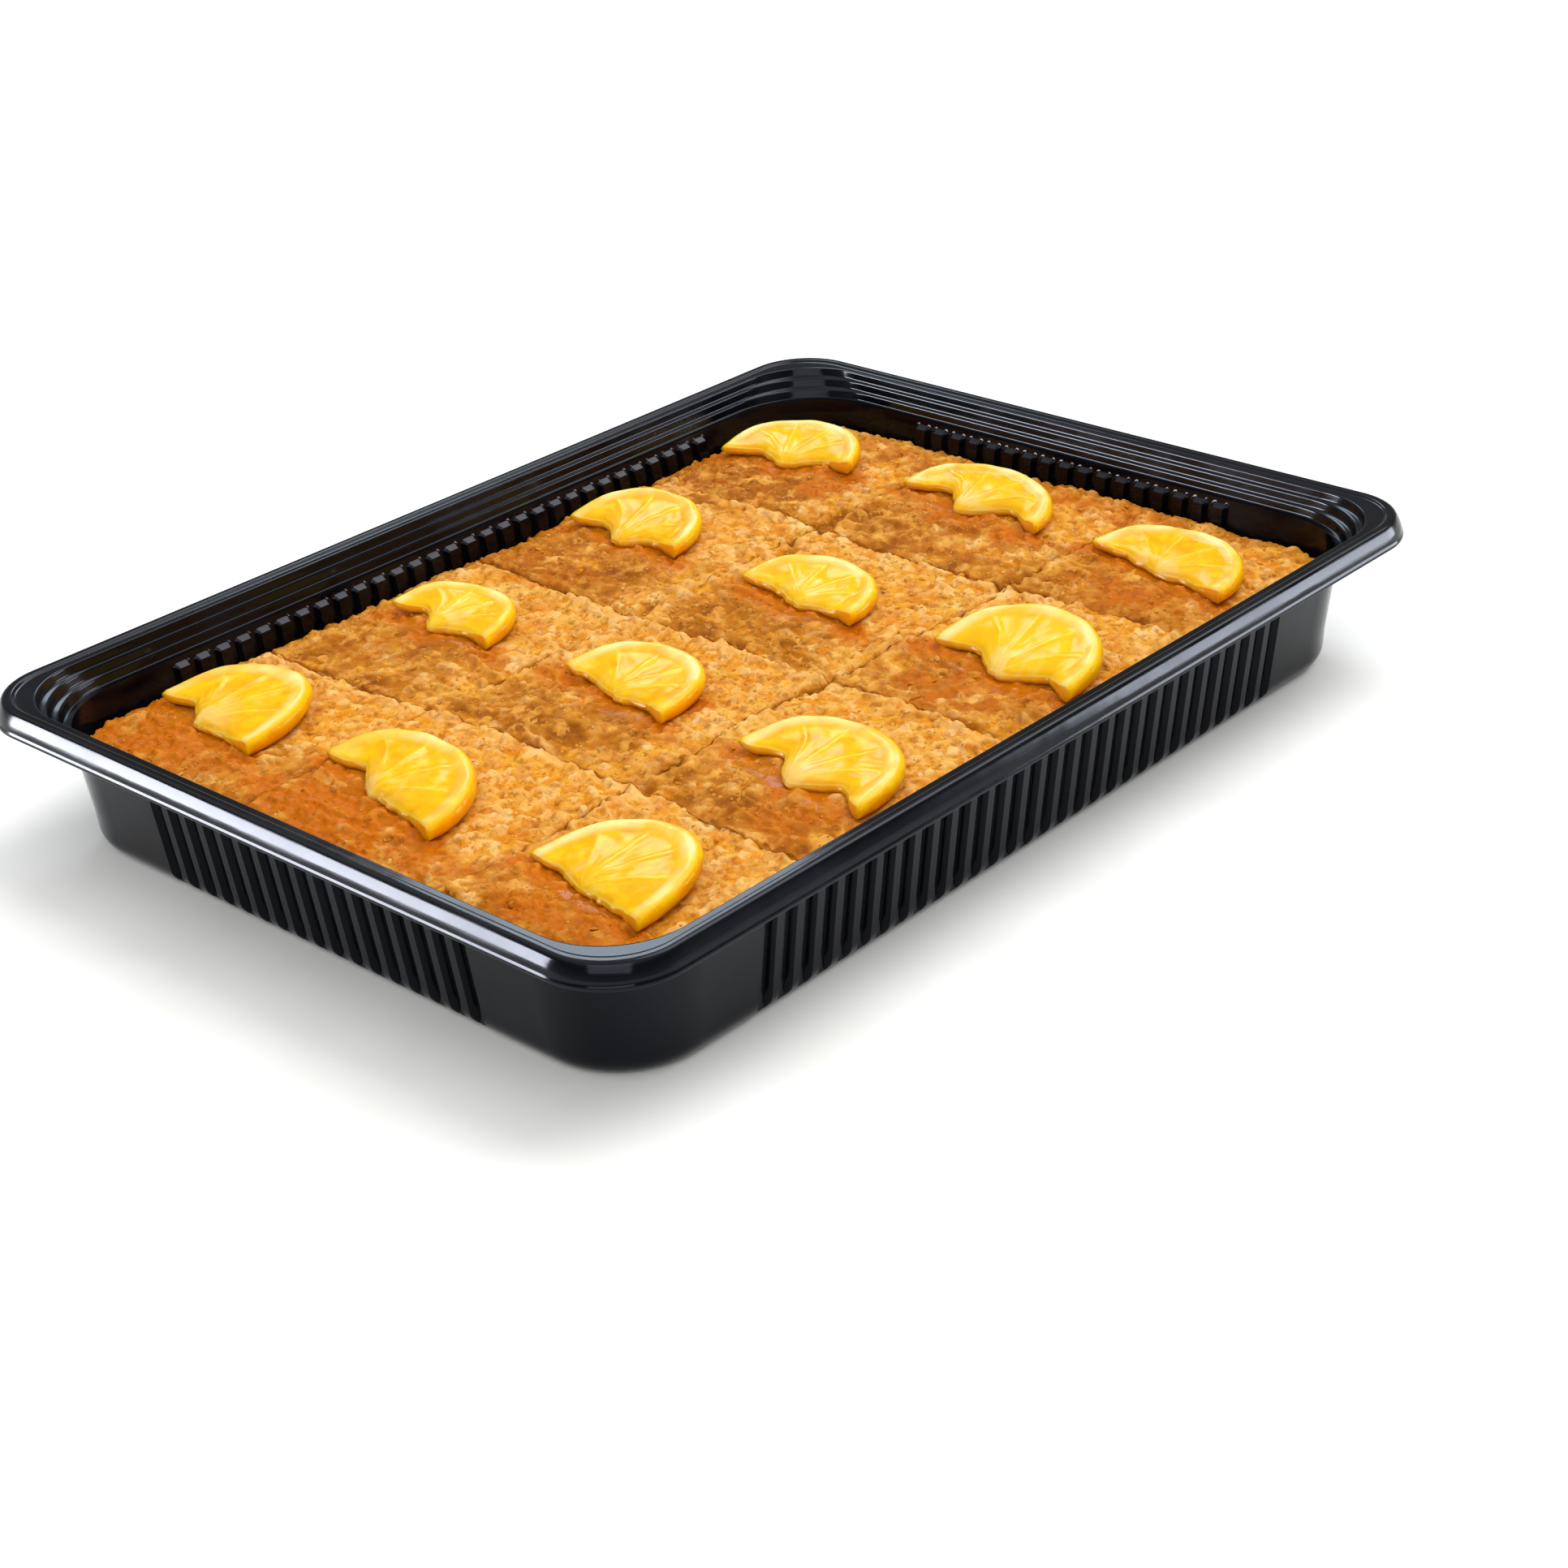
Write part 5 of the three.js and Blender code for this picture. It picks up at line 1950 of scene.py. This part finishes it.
    def build(self) -> list[bpy.types.Object]:
        """Strews every kind of crumb.

        Returns:
            One piece for each kind.
        """
        tree = self.tree()
        material = self.finish.material()
        made = []
        for kind in CrumbKind:
            name, per_cm2, size, faces, seed = kind.value
            piece = self.crust(name)
            solidify(piece, tree, {
                "Density": per_cm2 * 1e4, "Size": size, "Sink": size * self.sink,
                "Faces": faces, "Seed": seed, "Material": material,
            })
            piece.data.shade_smooth()
            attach(piece, "root")
            made.append(piece)
        return made


@dataclass(frozen=True)
class Softbox:
    """One lamp box: name, place and aim in metres, size, brightness, colour, and whether it only
    shows in gloss."""

    name: str
    place: tuple[float, float, float]
    aim: tuple[float, float, float]
    size: tuple[float, float]
    radiance: float
    colour: tuple[float, float, float] = (1.0, 1.0, 1.0)
    gloss_only: bool = False


@dataclass
class Studio:
    """Paper floor, soft boxes and the camera at the photograph's angle."""

    azimuth: float = 43.54
    elevation: float = 27.40
    roll: float = 3.23
    eye: tuple[float, float, float] = (-526.16, -517.85, 368.0)
    lens: float = 68.72
    film: float = 36.0
    clip: tuple[float, float] = (0.05, 30.0)
    floor_half: float = 4000.0
    floor_points: int = 9
    boxes: tuple[Softbox, ...] = (
        Softbox(
            "card_over_back", (0.60, 0.71, 0.71), (-0.15, -0.11, 0.04), (0.26, 0.34), 7.0, (0.74, 0.87, 1.0),
        ),
        Softbox(
            "strip_left", (-0.86, 0.76, 0.2), (-0.1, 0.05, 0.04), (0.46, 0.42), 38.0, (0.94, 0.96, 1.0), True,
        ),
        Softbox(
            "strip_right", (1.02, -0.74, 0.18), (0.1, -0.1, 0.04), (0.5, 0.34), 15.0, (0.88, 0.93, 1.0), True,
        ),
        Softbox("fill_over_camera", (-1.3, -1.0, 1.0), (0.0, 0.0, 0.0), (1.6, 1.0), 2.2),
    )
    sun_azimuth: float = -12.0
    sun_elevation: float = 56.0
    sun_width: float = 42.0
    sun_strength: float = 1.5
    fill: float = 0.62
    room: tuple[tuple[float, float], ...] = (
        (0.0, 1.0), (0.12, 0.75), (0.3, 0.3), (0.5, 0.34), (0.7, 1.7), (1.0, 2.2),
    )

    def build(self) -> None:
        """Builds the floor, the light and the camera."""
        steps = np.linspace(-self.floor_half, self.floor_half, self.floor_points)
        x, y = (grid.ravel() for grid in np.meshgrid(steps, steps))
        faces = sheet_faces(self.floor_points, self.floor_points)
        floor = make_piece("floor", np.column_stack([x, y, 0 * x]), faces)
        floor.data.materials.append(PaperSweep().material())
        for box in self.boxes:
            self.hang(box)
        self.shine()
        self.surround()
        self.aim_camera()
        view = bpy.context.scene.view_settings
        view.view_transform = "Standard"
        view.look = "None"

    def hang(self, box: Softbox) -> None:
        """Hangs one soft box.

        Args:
            box: its place, aim, size, strength and colour.
        """
        data = bpy.data.lights.new(box.name, "AREA")
        data.shape = "RECTANGLE"
        data.size, data.size_y = box.size
        data.energy = box.radiance * math.pi * box.size[0] * box.size[1]
        data.color = box.colour
        lamp = bpy.data.objects.new(box.name, data)
        lamp.location = box.place
        aim = Vector(box.aim) - Vector(box.place)
        lamp.rotation_mode = "QUATERNION"
        lamp.rotation_quaternion = aim.to_track_quat("-Z", "Y")
        lamp.visible_diffuse = not box.gloss_only
        bpy.context.scene.collection.objects.link(lamp)

    def shine(self) -> None:
        """Adds the wide key light from the right, the same all over the floor."""
        data = bpy.data.lights.new("key", "SUN")
        data.energy = self.sun_strength
        data.angle = math.radians(self.sun_width)
        az, el = math.radians(self.sun_azimuth), math.radians(self.sun_elevation)
        way = Vector((math.cos(az) * math.cos(el), math.sin(az) * math.cos(el), math.sin(el)))
        lamp = bpy.data.objects.new("key", data)
        lamp.rotation_mode = "QUATERNION"
        lamp.rotation_quaternion = (-way).to_track_quat("-Z", "Y")
        bpy.context.scene.collection.objects.link(lamp)

    def surround(self) -> None:
        """A dim grey room, lighter overhead and along the horizon."""
        world = bpy.data.worlds.new("studio_room")
        world.use_nodes = True
        tree = world.node_tree
        tree.nodes.clear()
        way = put(tree, "ShaderNodeTexCoord").outputs["Generated"]
        up = put(tree, "ShaderNodeSeparateXYZ", {0: way}).outputs["Z"]
        ramp = put(tree, "ShaderNodeValToRGB", {0: up})
        elements = ramp.color_ramp.elements
        while len(elements) < len(self.room):
            elements.new(0.5)
        for element, (place, light) in zip(elements, self.room):
            element.position = place
            element.color = (light, light, light, 1.0)
        back = put(tree, "ShaderNodeBackground", {"Color": ramp.outputs[0], "Strength": self.fill})
        put(tree, "ShaderNodeOutputWorld", {"Surface": back.outputs[0]})
        bpy.context.scene.world = world

    def aim_camera(self) -> None:
        """Sets the camera from the measured place and angles."""
        az, el, roll = (math.radians(a) for a in (self.azimuth, self.elevation, self.roll))
        ahead = Vector((math.cos(az) * math.cos(el), math.sin(az) * math.cos(el), -math.sin(el)))
        level = Vector((ahead.y, -ahead.x, 0)).normalized()
        up = level.cross(ahead)
        right = level * math.cos(roll) - up * math.sin(roll)
        up = right.cross(ahead)
        data = bpy.data.cameras.new("camera")
        data.lens = self.lens
        data.sensor_width = self.film
        data.clip_start, data.clip_end = self.clip
        camera = bpy.data.objects.new("camera", data)
        turned = Matrix((right, up, -ahead)).transposed().to_4x4()
        camera.matrix_world = Matrix.Translation(Vector(self.eye) * MM) @ turned
        bpy.context.scene.collection.objects.link(camera)
        bpy.context.scene.camera = camera


def main() -> None:
    """Builds the tray, the cake and what lies on it, then the studio, and reports each piece."""
    logging.basicConfig(level=logging.INFO, format="%(name)s: %(message)s")
    grain = Grain(SEED)
    tray = Tray()
    cake = Cake(tray, grain)
    pieces = [tray.build(), *cake.build(), *CandiedSlices(cake, grain).build()]
    pieces.append(SyrupFilm(cake, grain).build())
    pieces += CrumbScatter(cake).build()
    Studio().build()
    for piece in pieces:
        triangles = sum(len(face.vertices) - 2 for face in piece.data.polygons)
        LOG.info("%s: %d triangles", piece.name, triangles)


if __name__ == "__main__":
    main()
